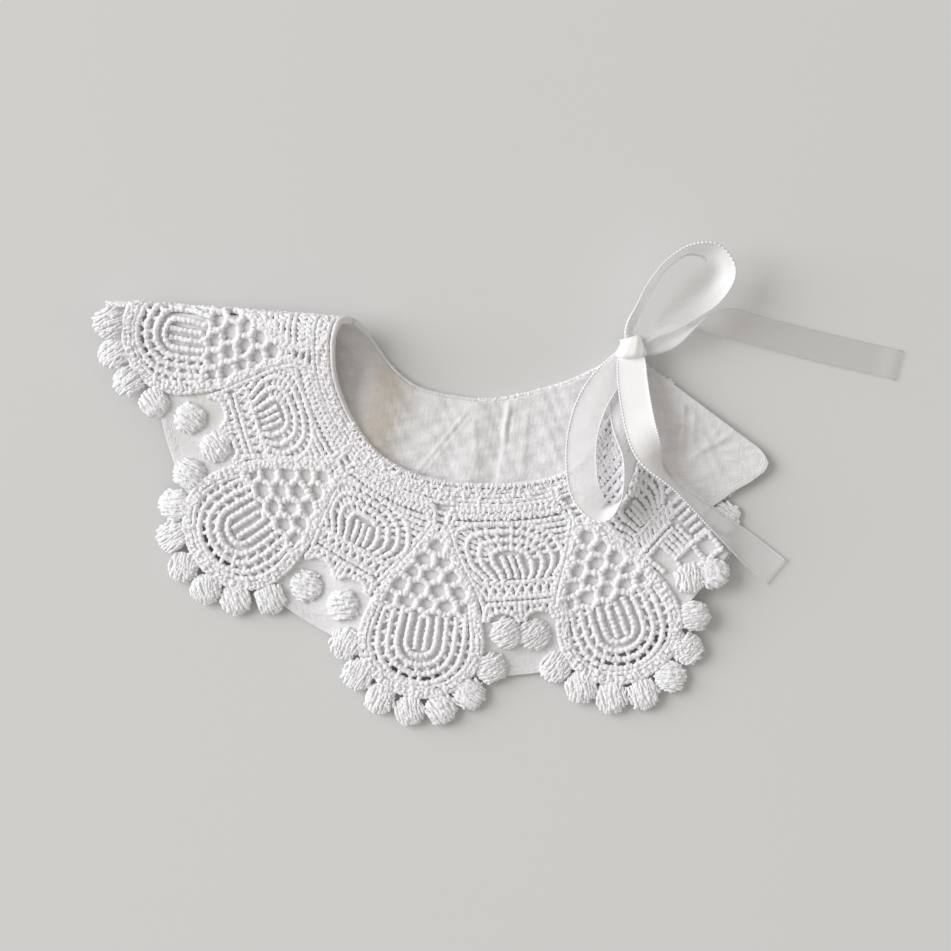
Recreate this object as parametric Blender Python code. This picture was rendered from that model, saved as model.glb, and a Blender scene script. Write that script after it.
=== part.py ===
"""A child's lace collar, folded once and laid flat, its ribbon ties knotted in a bow.

The collar is cut flat as a wide ring with a gap at the back. The flat cloth is drawn
in the plane of the upper half, and rest() folds it: the upper half lies where it is
drawn, the cloth turns over a soft roll along the fold, and the rest comes back below.
All sizes are in millimetres. Meshes are made in metres, with +Z up from the table.
"""
import math

import bmesh
import bpy
import numpy as np
from mathutils.geometry import delaunay_2d_cdt

MM = 0.001

# Driving sizes
NECK_LENGTH = 238.0        # along the neck edge, from one back edge to the other
REPEATS = 7                # lace medallions
UPPER_MEDALLIONS = 4       # of them, those drawn in the upper half
PITCH = 30.6               # from one medallion to the next, along the neck edge
FIRST_MEDALLION = (NECK_LENGTH - (REPEATS - 1) * PITCH) / 2
MEDALLION_DEPTH = 50.0     # from the neck edge to a medallion's centre
MEDALLION_RADIUS = 18.8    # towards the hem
MEDALLION_SPREAD = 2.2     # how much wider it is across
BORDER_WIDTH = 4.4         # the thick stitched ring round a medallion
BAND_DEPTH = 46.5          # lace between the medallions, from the neck edge
POMPOM_RADIUS = 4.9
POMPOMS = 9                # round each medallion
POMPOM_STEP = math.radians(26.5)
POMPOM_RING = 22.4         # from a medallion's centre to its middle pompoms
POMPOM_FLARE = 5.3         # how much further out the two end pompoms sit
BACK_POMPOMS = ((5.0, 54.5), (NECK_LENGTH - 5.0, 50.5))   # along the neck, depth
LINING_DEPTH_ENDS = 53.0   # lining, from the neck edge, at the back edges
LINING_DEPTH_MIDDLE = 60.0
BACK_DEPTH = 52.0          # lace at the back corners
LACE_WALL = 1.3
LINING_WALL = 1.0
RELIEF = 0.8               # raised stitching on the medallions
POMPOM_DOME = 1.2
SEAM = 0.3                 # clear space between two sewn pieces
SLACK = 0.3                # the lining hangs this much looser than the lace
FOLD_SLACK = 0.4           # and this much more inside the fold
FOLD_START = -24.0         # along the fold, before its neck end
FOLD_WIDTH = 8.0           # the looser cloth, to each side of the fold's outermost line
BINDING_WIDTH = 1.6
RIBBON_WALL = 0.9

# The fold: its line on the table, and how high the cloth stands along it
FOLD_AT = np.array((-49.8, 51.9))
FOLD_HEADING = math.radians(175.5)
ALONG = np.array((math.cos(FOLD_HEADING), math.sin(FOLD_HEADING)))
ACROSS = np.array((-ALONG[1], ALONG[0]))
LOWER_SEAM = LACE_WALL + SEAM / 2      # height of the lace and lining seam, lower half
UPPER_SEAM = 4.8                       # the same, where the upper half lies on the lower
LOW_SEAM = 1.75                        # and where it has dropped to the table
ROLL_REACH = 4.5                       # length of the sloping side, in radii
ROLL_RISE = 2.0                        # how steeply it leaves the fold, in radii
ROLL_TABLE = (  # along the fold from its neck end, radius
    (-110.0, 4.0),
    (-80.0, 4.0),
    (-25.0, 8.0),
    (0.0, 8.8),
    (30.0, 6.6),
    (60.0, 4.4),
    (75.0, 4.0),
    (95.0, 4.0),
)

# Where the cloth lies: a point on the neck edge and one on the line of the medallions
UPPER_ROWS = (  # along the neck, neck x, neck y, medallion x, medallion y
    (0.0, 37.3, 22.4, 70.8, -19.3),
    (27.2, 20.2, 2.1, 38.0, -46.5),
    (57.8, -17.6, -0.8, -26.0, -51.0),
    (88.4, -43.1, 11.5, -83.6, -14.6),
    (119.0, -54.4, 41.1, -103.3, 48.7),
    (136.4, -50.5, 57.3, -99.0, 84.0),
)
LOWER_ROWS = (  # the same, as it lies after the fold
    (149.6, -38.5, 39.8, -71.5, 9.5),
    (180.2, -12.4, 26.3, -20.0, -22.0),
    (210.8, 17.6, 30.2, 49.0, -11.0),
    (238.0, 42.1, 41.8, 81.7, 12.6),
)
FOLD_NECK = 139.0          # along the neck, where the fold crosses the neck edge


def smooth(rows, at):
    """A smooth curve through a table's rows; the first column is the distance along it."""
    table = np.asarray(rows, float)
    knots, values = table[:, 0], table[:, 1:]
    slopes = np.gradient(values, knots, axis=0)
    at = np.clip(np.atleast_1d(np.asarray(at, float)), knots[0], knots[-1])
    i = np.clip(np.searchsorted(knots, at, side="right") - 1, 0, len(knots) - 2)
    span = (knots[i + 1] - knots[i])[:, None]
    f = (at - knots[i])[:, None] / span
    return ((2 * f**3 - 3 * f**2 + 1) * values[i] + (f**3 - 2 * f**2 + f) * span * slopes[i]
            + (3 * f**2 - 2 * f**3) * values[i + 1] + (f**3 - f**2) * span * slopes[i + 1])


def ease(value):
    """0 below 0, 1 above 1, and a soft step between."""
    v = np.clip(value, 0.0, 1.0)
    return v * v * (3 - 2 * v)


def lie_height(places):
    """Height of the upper half's seam at places on the table: it drops past the lower half."""
    below = np.full(len(places), 1e3)
    for centre, radius in LOWER_DISCS:
        below = np.minimum(below, np.hypot(*(places - centre).T) - radius)
    for neck in LOWER_NECK:
        below = np.minimum(below, np.hypot(*(places - neck).T) - LINING_DEPTH_MIDDLE)
    return LOW_SEAM + (UPPER_SEAM - LOW_SEAM) * ease((DROP_END - below) / (DROP_END - DROP_START))


DROP_START = 0.5           # past the lower half's edge, where the upper half starts to drop
DROP_END = 19.0
LOWER_REACH = 28.5         # a medallion with its pompoms
LOWER_DISCS = [(np.array(row[3:5]), LOWER_REACH) for row in LOWER_ROWS[:3]]
LOWER_DISCS.append((np.array((-100.5, 68.0)), LOWER_REACH))
LOWER_DISCS.append((np.array((-92.0, 40.0)), LOWER_REACH))
LOWER_NECK = smooth(LOWER_ROWS, np.linspace(LOWER_ROWS[0][0], NECK_LENGTH, 24))[:, :2]
LOWER_NECK = np.vstack((FOLD_AT, LOWER_NECK))

STATION_STEP = 1.0
STATIONS = np.arange(-110.0, 96.0, STATION_STEP)
ARC_PARTS = 80


def roll_sections():
    """The sloping side of the fold at each station: distance out, height, spare length."""
    radius = smooth(ROLL_TABLE, STATIONS)[:, 0]
    out = np.empty((len(STATIONS), ARC_PARTS + 1))
    high = np.empty_like(out)
    spare = np.empty(len(STATIONS))
    step = np.linspace(0.0, 1.0, 161)
    ends = lie_height(FOLD_AT + STATIONS[:, None] * ALONG
                      + (ROLL_REACH * radius)[:, None] * ACROSS)
    for i, (r, end) in enumerate(zip(radius, ends)):
        reach = ROLL_REACH * r
        start = LOWER_SEAM + r
        x = 3 * (1 - step) * step**2 * reach * 0.55 + step**3 * reach
        z = ((1 - step)**3 * start + 3 * (1 - step)**2 * step * (start + ROLL_RISE * r)
             + (3 * (1 - step) * step**2 + step**3) * end)
        arc = np.concatenate(((0.0,), np.cumsum(np.hypot(np.diff(x), np.diff(z)))))
        even = np.linspace(0.0, arc[-1], ARC_PARTS + 1)
        out[i] = np.interp(even, arc, x)
        high[i] = np.interp(even, arc, z)
        spare[i] = arc[-1] - reach
    return radius, out, high, spare


ROLL_RADIUS, ROLL_OUT, ROLL_HIGH, ROLL_SPARE = roll_sections()


def at_station(values, along):
    return np.interp(along, STATIONS, values)


def at_section(values, along, share):
    """Read a table of sections between its stations and between its points."""
    i = np.clip((along - STATIONS[0]) / STATION_STEP, 0, len(STATIONS) - 1.001)
    j = np.clip(share * ARC_PARTS, 0, ARC_PARTS - 0.001)
    i0, j0 = i.astype(int), j.astype(int)
    fi, fj = i - i0, j - j0
    return ((values[i0, j0] * (1 - fi) + values[i0 + 1, j0] * fi) * (1 - fj)
            + (values[i0, j0 + 1] * (1 - fi) + values[i0 + 1, j0 + 1] * fi) * fj)


def unfold(places):
    """The point of the flat cloth that lies at each place of the lower half."""
    along, across = (places - FOLD_AT) @ ALONG, (places - FOLD_AT) @ ACROSS
    radius = at_station(ROLL_RADIUS, along)
    under = across - radius + radius * math.pi / 2
    return (FOLD_AT + along[:, None] * ALONG
            - (at_station(ROLL_SPARE, along) + under)[:, None] * ACROSS)


def rest(flat):
    """Where points of the flat cloth lie once it is folded: the seam of lace and lining."""
    flat = np.atleast_2d(flat)
    along, across = (flat - FOLD_AT) @ ALONG, (flat - FOLD_AT) @ ACROSS
    radius, spare = at_station(ROLL_RADIUS, along), at_station(ROLL_SPARE, along)
    reach = ROLL_REACH * radius
    share = np.clip((across + spare) / (reach + spare), 0.0, 1.0)
    past = np.maximum(across - reach, 0.0)
    out = at_section(ROLL_OUT, along, share) + past
    high = at_section(ROLL_HIGH, along, share)
    under = -spare - across
    turn = np.clip(under / radius, 0.0, math.pi / 2)
    out_low = radius * (1 - np.cos(turn)) + np.maximum(under - radius * math.pi / 2, 0.0)
    high_low = LOWER_SEAM + radius * (1 - np.sin(turn))
    lower = under > 0
    out = np.where(lower, out_low, out)
    places = FOLD_AT + along[:, None] * ALONG + out[:, None] * ACROSS
    high = np.where(past > 0, lie_height(places), high)
    return np.column_stack((places, np.where(lower, high_low, high)))


def cloth(flat, offset):
    """Points off the seam: plus is towards the lace's outer face, minus towards the lining's."""
    flat = np.atleast_2d(np.asarray(flat, float))
    probe = 0.25
    east, north = np.array((probe, 0.0)), np.array((0.0, probe))
    normal = np.cross(rest(flat + east) - rest(flat - east),
                      rest(flat + north) - rest(flat - north))
    normal /= np.linalg.norm(normal, axis=1)[:, None]
    return rest(flat) + normal * np.broadcast_to(offset, len(flat))[:, None]


def flat_rows():
    """The whole cloth's rows in the flat plane: the lower rows are unfolded first."""
    rows = [list(row) for row in UPPER_ROWS]
    for along, *pairs in LOWER_ROWS:
        points = unfold(np.array(pairs).reshape(2, 2))
        rows.append([along, *points.ravel()])
    return rows


FLAT_ROWS = flat_rows()


def spot(along, depth):
    """A point of the flat cloth by its distance along the neck edge and its depth from it."""
    along, depth = np.broadcast_arrays(np.atleast_1d(along), np.atleast_1d(depth))
    row = smooth(FLAT_ROWS, along)
    neck, middle = row[:, :2], row[:, 2:]
    return neck + (middle - neck) * (depth / MEDALLION_DEPTH)[:, None]


def motif(index, points):
    """Points drawn about a medallion's centre, y away from the neck, set in the flat cloth."""
    along = FIRST_MEDALLION + index * PITCH
    upper = index < UPPER_MEDALLIONS
    rows = UPPER_ROWS if upper else LOWER_ROWS
    row = smooth(rows, along)[0]
    centre, outward = row[2:4], row[2:4] - row[0:2]
    outward = outward / np.linalg.norm(outward)
    aside = np.array((outward[1], -outward[0])) * (1 if upper else -1)
    points = np.atleast_2d(points)
    places = centre + points[:, :1] * aside + points[:, 1:] * outward
    return places if upper else unfold(places)


def medallion_ring(inset, sides):
    """A ring of points inside a medallion's border: it is a little wider than it is deep."""
    turn = np.arange(sides) * 2 * math.pi / sides
    radius = MEDALLION_RADIUS + MEDALLION_SPREAD * np.sin(turn) ** 2 - inset
    return np.column_stack((radius * np.sin(turn), radius * np.cos(turn)))


def ring(radius, sides, x=0.0, y=0.0, squash=1.0):
    turn = np.arange(sides) * 2 * math.pi / sides
    return np.column_stack((x + radius * np.sin(turn), y + radius * squash * np.cos(turn)))


# The lace's gaps over 4 mm: x along the medallion's width, depth from the neck edge, half sizes
NET_ROWS = (  # depth, gaps across
    (18.8, 1),
    (23.4, 2),
    (28.0, 3),
    (32.6, 4),
)
NET_PITCH = 6.4
NET_GAP = (2.15, 1.6)      # half width and half depth
SLOT_AT = (13.8, 44.5)     # beside the medallion's rings, and its depth
SLOT_GAP = (1.4, 4.6)
ARCH_AT = (5.4, 37.6)      # above the two pompoms of each valley
ARCH_GAP = (3.2, 1.7)
END_GAPS = (  # from the back edge, depth, half width, half depth
    (10.5, 47.0, 3.2, 2.4),
    (4.4, 47.8, 2.2, 1.9),
)


def medallion_gaps(index):
    gaps = []
    for depth, across in NET_ROWS:
        for k in range(across):
            x = (k - (across - 1) / 2) * NET_PITCH
            gaps.append((x, depth - MEDALLION_DEPTH, *NET_GAP))
    for side in (-1, 1):
        gaps.append((side * SLOT_AT[0], SLOT_AT[1] - MEDALLION_DEPTH, *SLOT_GAP))
    return [motif(index, ring(wide, 6, x, y, deep / wide)) for x, y, wide, deep in gaps]


def strip_gap(along, depth, wide, deep):
    """A gap placed by its distance along the neck edge."""
    corner = ring(wide, 6, 0.0, 0.0, deep / wide)
    fan = 1 + depth / (NECK_LENGTH / math.radians(313))
    return spot(along + corner[:, 0] / fan, depth + corner[:, 1])


def lace_gaps():
    gaps = []
    for index in range(REPEATS):
        gaps += medallion_gaps(index)
    fan = 1 + ARCH_AT[1] / (NECK_LENGTH / math.radians(313))
    for index in range(REPEATS - 1):
        valley = FIRST_MEDALLION + (index + 0.5) * PITCH
        for side in (-1, 1):
            gaps.append(strip_gap(valley + side * ARCH_AT[0] / fan, ARCH_AT[1], *ARCH_GAP))
    for from_edge, depth, wide, deep in END_GAPS:
        gaps.append(strip_gap(from_edge, depth, wide, deep))
        gaps.append(strip_gap(NECK_LENGTH - from_edge, depth, wide, deep))
    return gaps


def pompom_places():
    """Pompom centres in the flat cloth: nine round each medallion, one at each back corner."""
    places = []
    for index in range(REPEATS):
        for k in range(POMPOMS):
            turn = k - (POMPOMS - 1) / 2
            out = POMPOM_RING + POMPOM_FLARE * (abs(turn) / 4) ** 4
            angle = turn * POMPOM_STEP
            places.append(motif(index, (out * math.sin(angle), out * math.cos(angle)))[0])
    for along, depth in BACK_POMPOMS:
        places.append(spot(along, depth)[0])
    return np.array(places)


POMPOM_PLACES = pompom_places()


# The grid of points inside the cloth
GRID_ALONG, GRID_DEEP = 3.85, 7.0
FOLD_GRID_ACROSS, FOLD_GRID_ALONG = 2.7, 6.48
FOLD_BAND = (-27.54, 16.0)      # the finer grid, across the fold
FOLD_SPAN = (-8.0, 88.0)        # and along it
DEEPEST = 78.0
GRID_CLEAR = 1.8                # from the points of the outlines


def depth_edge(start, end, depth, step):
    """Points along the neck from start to end, at a depth given by a function or a number."""
    along = np.linspace(start, end, max(2, round(abs(end - start) / step)) + 1)
    deep = np.array([depth(a) if callable(depth) else depth for a in along])
    return spot(along, deep)


def lining_depth(along):
    middle = math.sin(math.pi * along / NECK_LENGTH) ** 0.5
    return LINING_DEPTH_ENDS + (LINING_DEPTH_MIDDLE - LINING_DEPTH_ENDS) * middle


def lace_depth(along):
    """The lace's lower edge between the medallions; deeper at the back corners."""
    from_edge = min(along, NECK_LENGTH - along)
    return BAND_DEPTH + (BACK_DEPTH - BAND_DEPTH) * float(ease((20.0 - from_edge) / 6.0))


def strip_outline(depth, step):
    """The outline of a strip from just under the neck edge down to a depth."""
    start, end = SEAM / 2, NECK_LENGTH - SEAM / 2
    neck = depth_edge(start, end, SEAM / 2, step)
    edge = depth_edge(end, start, depth, step)
    back = spot(end, np.linspace(SEAM / 2, depth(end), 12)[1:-1])
    front = spot(start, np.linspace(depth(start), SEAM / 2, 12)[1:-1])
    return np.vstack((neck, back, edge, front))


def fold_slit():
    """A thin strip along the fold's outermost line, which parts the upper half from the lower."""
    along = np.arange(-12.0, 92.0, 3.0)
    across = -at_station(ROLL_SPARE, along)
    side = FOLD_AT + along[:, None] * ALONG
    return np.vstack((side + (across + SEAM / 2)[:, None] * ACROSS,
                      (side + (across - SEAM / 2)[:, None] * ACROSS)[::-1]))


def filling(edges):
    """A grid of points inside the cloth, closer together where it turns over the fold."""
    points = []
    for along in np.arange(2.0, NECK_LENGTH, GRID_ALONG):
        for depth in np.arange(4.0, DEEPEST, GRID_DEEP):
            points.append(spot(along, depth)[0])
    for across in np.arange(*FOLD_BAND, FOLD_GRID_ACROSS):
        for along in np.arange(*FOLD_SPAN, FOLD_GRID_ALONG):
            points.append(FOLD_AT + along * ALONG + across * ACROSS)
    points = np.array(points)
    nearest = np.min(np.linalg.norm(points[:, None] - edges[None], axis=2), axis=1)
    return points[nearest > GRID_CLEAR]


def triangulate(solid_loops, gap_loops, points):
    """Triangles that fill the solid loops, less the gaps."""
    loops = [np.asarray(loop) for loop in (*solid_loops, *gap_loops)]
    coords, faces = [], []
    for loop in loops:
        x, y = loop.T
        if np.sum(x * np.roll(y, -1) - y * np.roll(x, -1)) < 0:
            loop = loop[::-1]
        faces.append(list(range(len(coords), len(coords) + len(loop))))
        coords += [tuple(p) for p in loop]
    coords += [tuple(p) for p in points]
    verts, _, tris, _, _, source = delaunay_2d_cdt(coords, [], faces, 0, 1e-5)
    kept = []
    for tri, from_faces in zip(tris, source):
        inside = any(f < len(solid_loops) for f in from_faces)
        if inside and not any(f >= len(solid_loops) for f in from_faces):
            kept.append(tri)
    return np.array([tuple(v) for v in verts]), kept


def groups(tris):
    """Triangles split into connected groups."""
    parent = {}

    def root(v):
        while parent.setdefault(v, v) != v:
            parent[v] = parent[parent[v]]
            v = parent[v]
        return v

    for tri in tris:
        for v in tri[1:]:
            parent[root(v)] = root(tri[0])
    found = {}
    for tri in tris:
        found.setdefault(root(tri[0]), []).append(tri)
    return sorted(found.values(), key=len, reverse=True)


def solid(name, verts, faces, colour, rough):
    mesh = bpy.data.meshes.new(name)
    mesh.from_pydata([tuple(v) for v in np.asarray(verts) * MM], [], faces)
    mesh.validate()
    mesh.shade_smooth()
    mesh.set_sharp_from_angle(angle=math.radians(50))
    item = bpy.data.objects.new(name, mesh)
    bpy.context.scene.collection.objects.link(item)
    material = bpy.data.materials.new(name)
    material.use_nodes = True
    shader = material.node_tree.nodes["Principled BSDF"]
    shader.inputs["Base Color"].default_value = (*colour, 1.0)
    shader.inputs["Roughness"].default_value = rough
    mesh.materials.append(material)
    return item


def wall(name, flat, tris, outer, inner, colour, rough):
    """A closed wall between two surfaces off the seam, over a set of flat triangles."""
    used = sorted({v for tri in tris for v in tri})
    index = {v: i for i, v in enumerate(used)}
    tris = [[index[v] for v in tri] for tri in tris]
    points = flat[used]
    top, bottom = cloth(points, outer(points)), cloth(points, inner(points))
    count = len(points)
    edges = set()
    faces = []
    for a, b, c in tris:
        (ax, ay), (bx, by), (cx, cy) = points[a], points[b], points[c]
        if (bx - ax) * (cy - ay) - (by - ay) * (cx - ax) < 0:
            b, c = c, b
        faces.append((a, b, c))
        faces.append((c + count, b + count, a + count))
        edges.update(((a, b), (b, c), (c, a)))
    for a, b in sorted(edges):
        if (b, a) not in edges:
            faces.append((b, a, a + count, b + count))
    return solid(name, np.vstack((top, bottom)), faces, colour, rough)


def lace_relief(points):
    """How far the lace's outer face stands up: medallion borders and pompoms."""
    rise = np.zeros(len(points))
    for index in range(REPEATS):
        centre, below = motif(index, ((0.0, 0.0), (0.0, 1.0)))
        away = points - centre
        far = np.hypot(*away.T)
        across = 1 - (away @ (below - centre) / np.maximum(far, 1e-6)) ** 2
        inset = MEDALLION_RADIUS + MEDALLION_SPREAD * across - far
        rise = np.maximum(rise, RELIEF * ease(BORDER_WIDTH + 0.5 - inset) * (inset > -0.3))
    return np.maximum(rise, pompom_dome(points))


def pompom_dome(points):
    far = np.min(np.linalg.norm(points[:, None] - POMPOM_PLACES[None], axis=2), axis=1)
    return POMPOM_DOME * np.sqrt(np.clip(1 - (far / POMPOM_RADIUS) ** 2, 0.0, 1.0))


def is_lower(points):
    along, across = (points - FOLD_AT) @ ALONG, (points - FOLD_AT) @ ACROSS
    return across < -at_station(ROLL_SPARE, along)


def lace_outer(points):
    """The lower half rests on the table, so its outer face stays plain there."""
    return SEAM / 2 + LACE_WALL + np.where(is_lower(points), 0.0, lace_relief(points))


def lace_inner(points):
    return np.full(len(points), SEAM / 2)


def build_lace():
    outline = [strip_outline(lace_depth, 3.4)]
    inner_points = []
    for index in range(REPEATS):
        outline.append(motif(index, medallion_ring(0.0, 22)))
        if index < UPPER_MEDALLIONS:
            for inset in (BORDER_WIDTH + 0.6, BORDER_WIDTH - 0.6):
                inner_points.append(motif(index, medallion_ring(inset, 18)))
    for place in POMPOM_PLACES:
        outline.append(place + ring(POMPOM_RADIUS, 10))
        if not is_lower(place[None])[0]:
            inner_points.append(place + ring(POMPOM_RADIUS * 0.62, 6))
            inner_points.append(place[None])
    gaps = lace_gaps()
    slit = fold_slit()
    fixed = np.vstack(outline + gaps + inner_points + [slit])
    points = np.vstack(inner_points + [filling(fixed)])
    flat, tris = triangulate(outline, gaps + [slit], points)
    upper = [t for t in tris if not is_lower(flat[t].mean(axis=0)[None])[0]]
    lower = [t for t in tris if is_lower(flat[t].mean(axis=0)[None])[0]]
    for name, part in (("lace_upper", upper), ("lace_lower", lower)):
        wall(name, flat, groups(part)[0], lace_outer, lace_inner, (0.86, 0.86, 0.85), 0.85)


def lining_outer(points):
    along, across = (points - FOLD_AT) @ ALONG, (points - FOLD_AT) @ ACROSS
    from_fold = np.abs(across + at_station(ROLL_SPARE, along))
    near = ease(1.5 - from_fold / FOLD_WIDTH) * ease((along - FOLD_START) / FOLD_WIDTH)
    return -SEAM / 2 - SLACK - FOLD_SLACK * near


def lining_inner(points):
    return lining_outer(points) - LINING_WALL


def build_lining():
    outline = strip_outline(lining_depth, 4.0)
    slit = fold_slit()
    fixed = np.vstack((outline, slit))
    points = filling(fixed)
    flat, tris = triangulate([outline], [slit], points)
    upper = [t for t in tris if not is_lower(flat[t].mean(axis=0)[None])[0]]
    lower = [t for t in tris if is_lower(flat[t].mean(axis=0)[None])[0]]
    for name, part in (("lining_upper", upper), ("lining_lower", lower)):
        wall(name, flat, groups(part)[0], lining_outer, lining_inner, (0.82, 0.8, 0.79), 0.9)


# Ribbons: place, height, how the width turns about the length (0 flat, 90 on edge), and width
KNOT_AT = (41.6, 43.9, 6.9)
KNOT_SIZE = (8.8, 7.0, 5.6)
UPPER_LOOP = (  # x, y, z, turn, width
    (40.0, 48.9, 8.4, 0.0, 6.0),
    (43.0, 54.4, 10.4, -46.0, 9.0),
    (47.4, 63.6, 12.4, -62.0, 10.0),
    (53.6, 71.6, 13.4, -66.0, 10.0),
    (62.0, 76.2, 13.8, -70.0, 10.0),
    (69.6, 74.4, 13.4, -70.0, 10.0),
    (72.2, 68.2, 12.4, -60.0, 10.0),
    (68.4, 60.6, 10.6, -42.0, 10.0),
    (61.2, 55.4, 9.2, -20.0, 10.0),
    (53.8, 51.4, 8.0, -8.0, 9.0),
    (48.4, 48.8, 6.8, 0.0, 6.0),
)
LOWER_LOOP = (
    (38.6, 39.9, 7.2, 0.0, 6.0),
    (34.6, 34.4, 8.0, 0.0, 9.0),
    (29.4, 26.4, 8.9, 2.0, 10.0),
    (26.2, 17.4, 9.7, 12.0, 10.0),
    (25.6, 7.6, 10.4, 30.0, 10.0),
    (27.8, -2.0, 11.4, 52.0, 10.0),
    (32.2, -7.6, 12.0, 76.0, 10.0),
    (37.0, -4.6, 12.2, 96.0, 10.0),
    (39.4, 2.6, 12.0, 110.0, 10.0),
    (40.0, 9.4, 11.4, 126.0, 10.0),
    (39.6, 15.6, 10.2, 158.0, 10.0),
    (38.8, 22.6, 8.1, 187.0, 9.0),
    (38.6, 30.6, 6.3, 186.0, 8.0),
    (40.2, 39.9, 5.6, 180.0, 6.0),
)
SHORT_TAIL = (
    (41.4, 39.9, 8.6, 0.0, 7.0),
    (42.0, 33.0, 9.8, 0.0, 9.5),
    (43.6, 25.0, 11.8, 0.0, 10.0),
    (45.8, 17.4, 12.8, 4.0, 10.0),
    (49.6, 10.2, 12.2, 24.0, 10.0),
    (54.4, 3.4, 10.6, 50.0, 10.0),
    (60.4, -3.4, 9.2, 62.0, 10.0),
    (66.6, -10.2, 7.6, 58.0, 10.0),
    (72.8, -16.6, 5.2, 38.0, 10.0),
    (80.2, -22.6, 2.4, 14.0, 10.0),
    (88.6, -28.9, 0.9, 0.0, 10.0),
)
LONG_TAIL = (
    (47.4, 43.8, 5.6, 0.0, 6.0),
    (50.8, 45.8, 5.4, 12.0, 8.5),
    (56.2, 48.4, 5.2, 44.0, 9.0),
    (61.4, 50.4, 5.0, 84.0, 9.0),
    (66.6, 51.6, 4.6, 124.0, 9.5),
    (72.6, 51.6, 3.6, 158.0, 10.0),
    (80.0, 49.8, 2.2, 176.0, 10.0),
    (90.0, 47.2, 1.0, 180.0, 10.0),
    (104.0, 43.7, 0.6, 180.0, 10.0),
    (118.0, 40.4, 0.6, 180.0, 10.0),
    (128.4, 38.0, 0.6, 180.0, 10.0),
)
UPPER_TIE = (
    (37.9, 24.8, 5.2, 0.0, 6.0),
    (38.7, 29.0, 5.0, 0.0, 6.0),
    (39.8, 34.0, 4.6, 0.0, 6.0),
    (40.9, 39.9, 4.2, 0.0, 6.0),
)
LOWER_TIE = (
    (42.4, 41.2, 3.5, 0.0, 7.0),
    (41.9, 43.9, 3.5, 0.0, 7.0),
    (41.3, 47.0, 3.5, 0.0, 7.0),
)


def along_rows(rows, spacing):
    """Evenly spaced points of the smooth curve through a ribbon's rows."""
    places = np.array(rows)[:, :3]
    arc = np.concatenate(((0.0,), np.cumsum(np.linalg.norm(np.diff(places, axis=0), axis=1))))
    keyed = np.column_stack((arc, rows))
    return smooth(keyed, np.linspace(0.0, arc[-1], max(4, round(arc[-1] / spacing)) + 1))


def ribbon(name, rows, spacing=2.6):
    """A ribbon as a flat strip with square corners, turned about its own length."""
    path = along_rows(rows, spacing)
    places, turn, half = path[:, :3], np.radians(path[:, 3]), path[:, 4:] / 2
    ahead = np.gradient(places, axis=0)
    ahead /= np.linalg.norm(ahead, axis=1)[:, None]
    level = np.cross(ahead, (0.0, 0.0, 1.0))
    level /= np.linalg.norm(level, axis=1)[:, None]
    upright = np.cross(level, ahead)
    side = level * np.cos(turn)[:, None] + upright * np.sin(turn)[:, None]
    face = np.cross(side, ahead)
    thin = RIBBON_WALL / 2
    corners = ((1, thin), (-1, thin), (-1, -thin), (1, -thin))
    verts = np.vstack([places + side * half * a + face * b for a, b in corners])
    count = len(places)
    faces = [(0, count, 2 * count, 3 * count)]
    for i in range(count - 1):
        for j in range(4):
            a, b = j * count + i, ((j + 1) % 4) * count + i
            if j == 2:      # the lower face is split along the same line as the upper
                faces += [(a, a + 1, b), (a + 1, b + 1, b)]
            else:
                faces += [(a, a + 1, b + 1), (a, b + 1, b)]
    faces.append(tuple(j * count + count - 1 for j in (3, 2, 1, 0)))
    item = solid(name, verts, faces, (0.9, 0.9, 0.88), 0.35)
    return face_outward(item)


def face_outward(item):
    """Turn every face outwards, and split it into triangles, since a twisted strip isn't flat."""
    mesh = bmesh.new()
    mesh.from_mesh(item.data)
    bmesh.ops.recalc_face_normals(mesh, faces=mesh.faces)
    bmesh.ops.triangulate(mesh, faces=mesh.faces)
    mesh.to_mesh(item.data)
    mesh.free()
    return item


def build_knot():
    """The knot: a rounded wrap of ribbon."""
    rings, sides = 7, 14
    verts, faces = [], []
    half = np.array(KNOT_SIZE) / 2
    for i in range(rings):
        lift = math.pi * (i / (rings - 1) - 0.5)
        narrow = max(abs(math.cos(lift)) ** 0.35, 0.55)
        for j in range(sides):
            turn = 2 * math.pi * j / sides
            x = half[0] * narrow * math.copysign(abs(math.cos(turn)) ** 0.7, math.cos(turn))
            z = half[2] * narrow * math.copysign(abs(math.sin(turn)) ** 0.7, math.sin(turn))
            verts.append((KNOT_AT[0] + x, KNOT_AT[1] + half[1] * math.sin(lift), KNOT_AT[2] + z))
    for i in range(rings - 1):
        for j in range(sides):
            a, b = i * sides + j, i * sides + (j + 1) % sides
            faces.append((a, b, b + sides, a + sides))
    faces.append(tuple(range(sides)))
    faces.append(tuple(range(sides * (rings - 1), sides * rings))[::-1])
    face_outward(solid("bow_knot", verts, faces, (0.92, 0.92, 0.9), 0.35))


def build_binding(name, start, end, sides=8, spacing=4.2):
    """The thin rolled binding along the neck edge."""
    along = np.linspace(start, end, round((end - start) / spacing) + 1)
    thick = (LACE_WALL + LINING_WALL + SEAM) / 2 - 0.05
    middle = (LACE_WALL - LINING_WALL) / 2
    verts = []
    for j in range(sides):
        turn = 2 * math.pi * (j + 0.5) / sides
        depth = -BINDING_WIDTH / 2 - SEAM / 2 + BINDING_WIDTH / 2 * math.cos(turn)
        verts.append(cloth(spot(along, depth), middle + thick * math.sin(turn)))
    count = len(along)
    faces = [tuple(j * count for j in range(sides))]
    for i in range(count - 1):
        for j in range(sides):
            a, b = j * count + i, ((j + 1) % sides) * count + i
            faces.append((a, a + 1, b + 1, b))
    faces.append(tuple(j * count + count - 1 for j in reversed(range(sides))))
    face_outward(solid(name, np.vstack(verts), faces, (0.88, 0.87, 0.86), 0.8))


def clear_scene():
    for item in list(bpy.data.objects):
        bpy.data.objects.remove(item)


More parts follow.
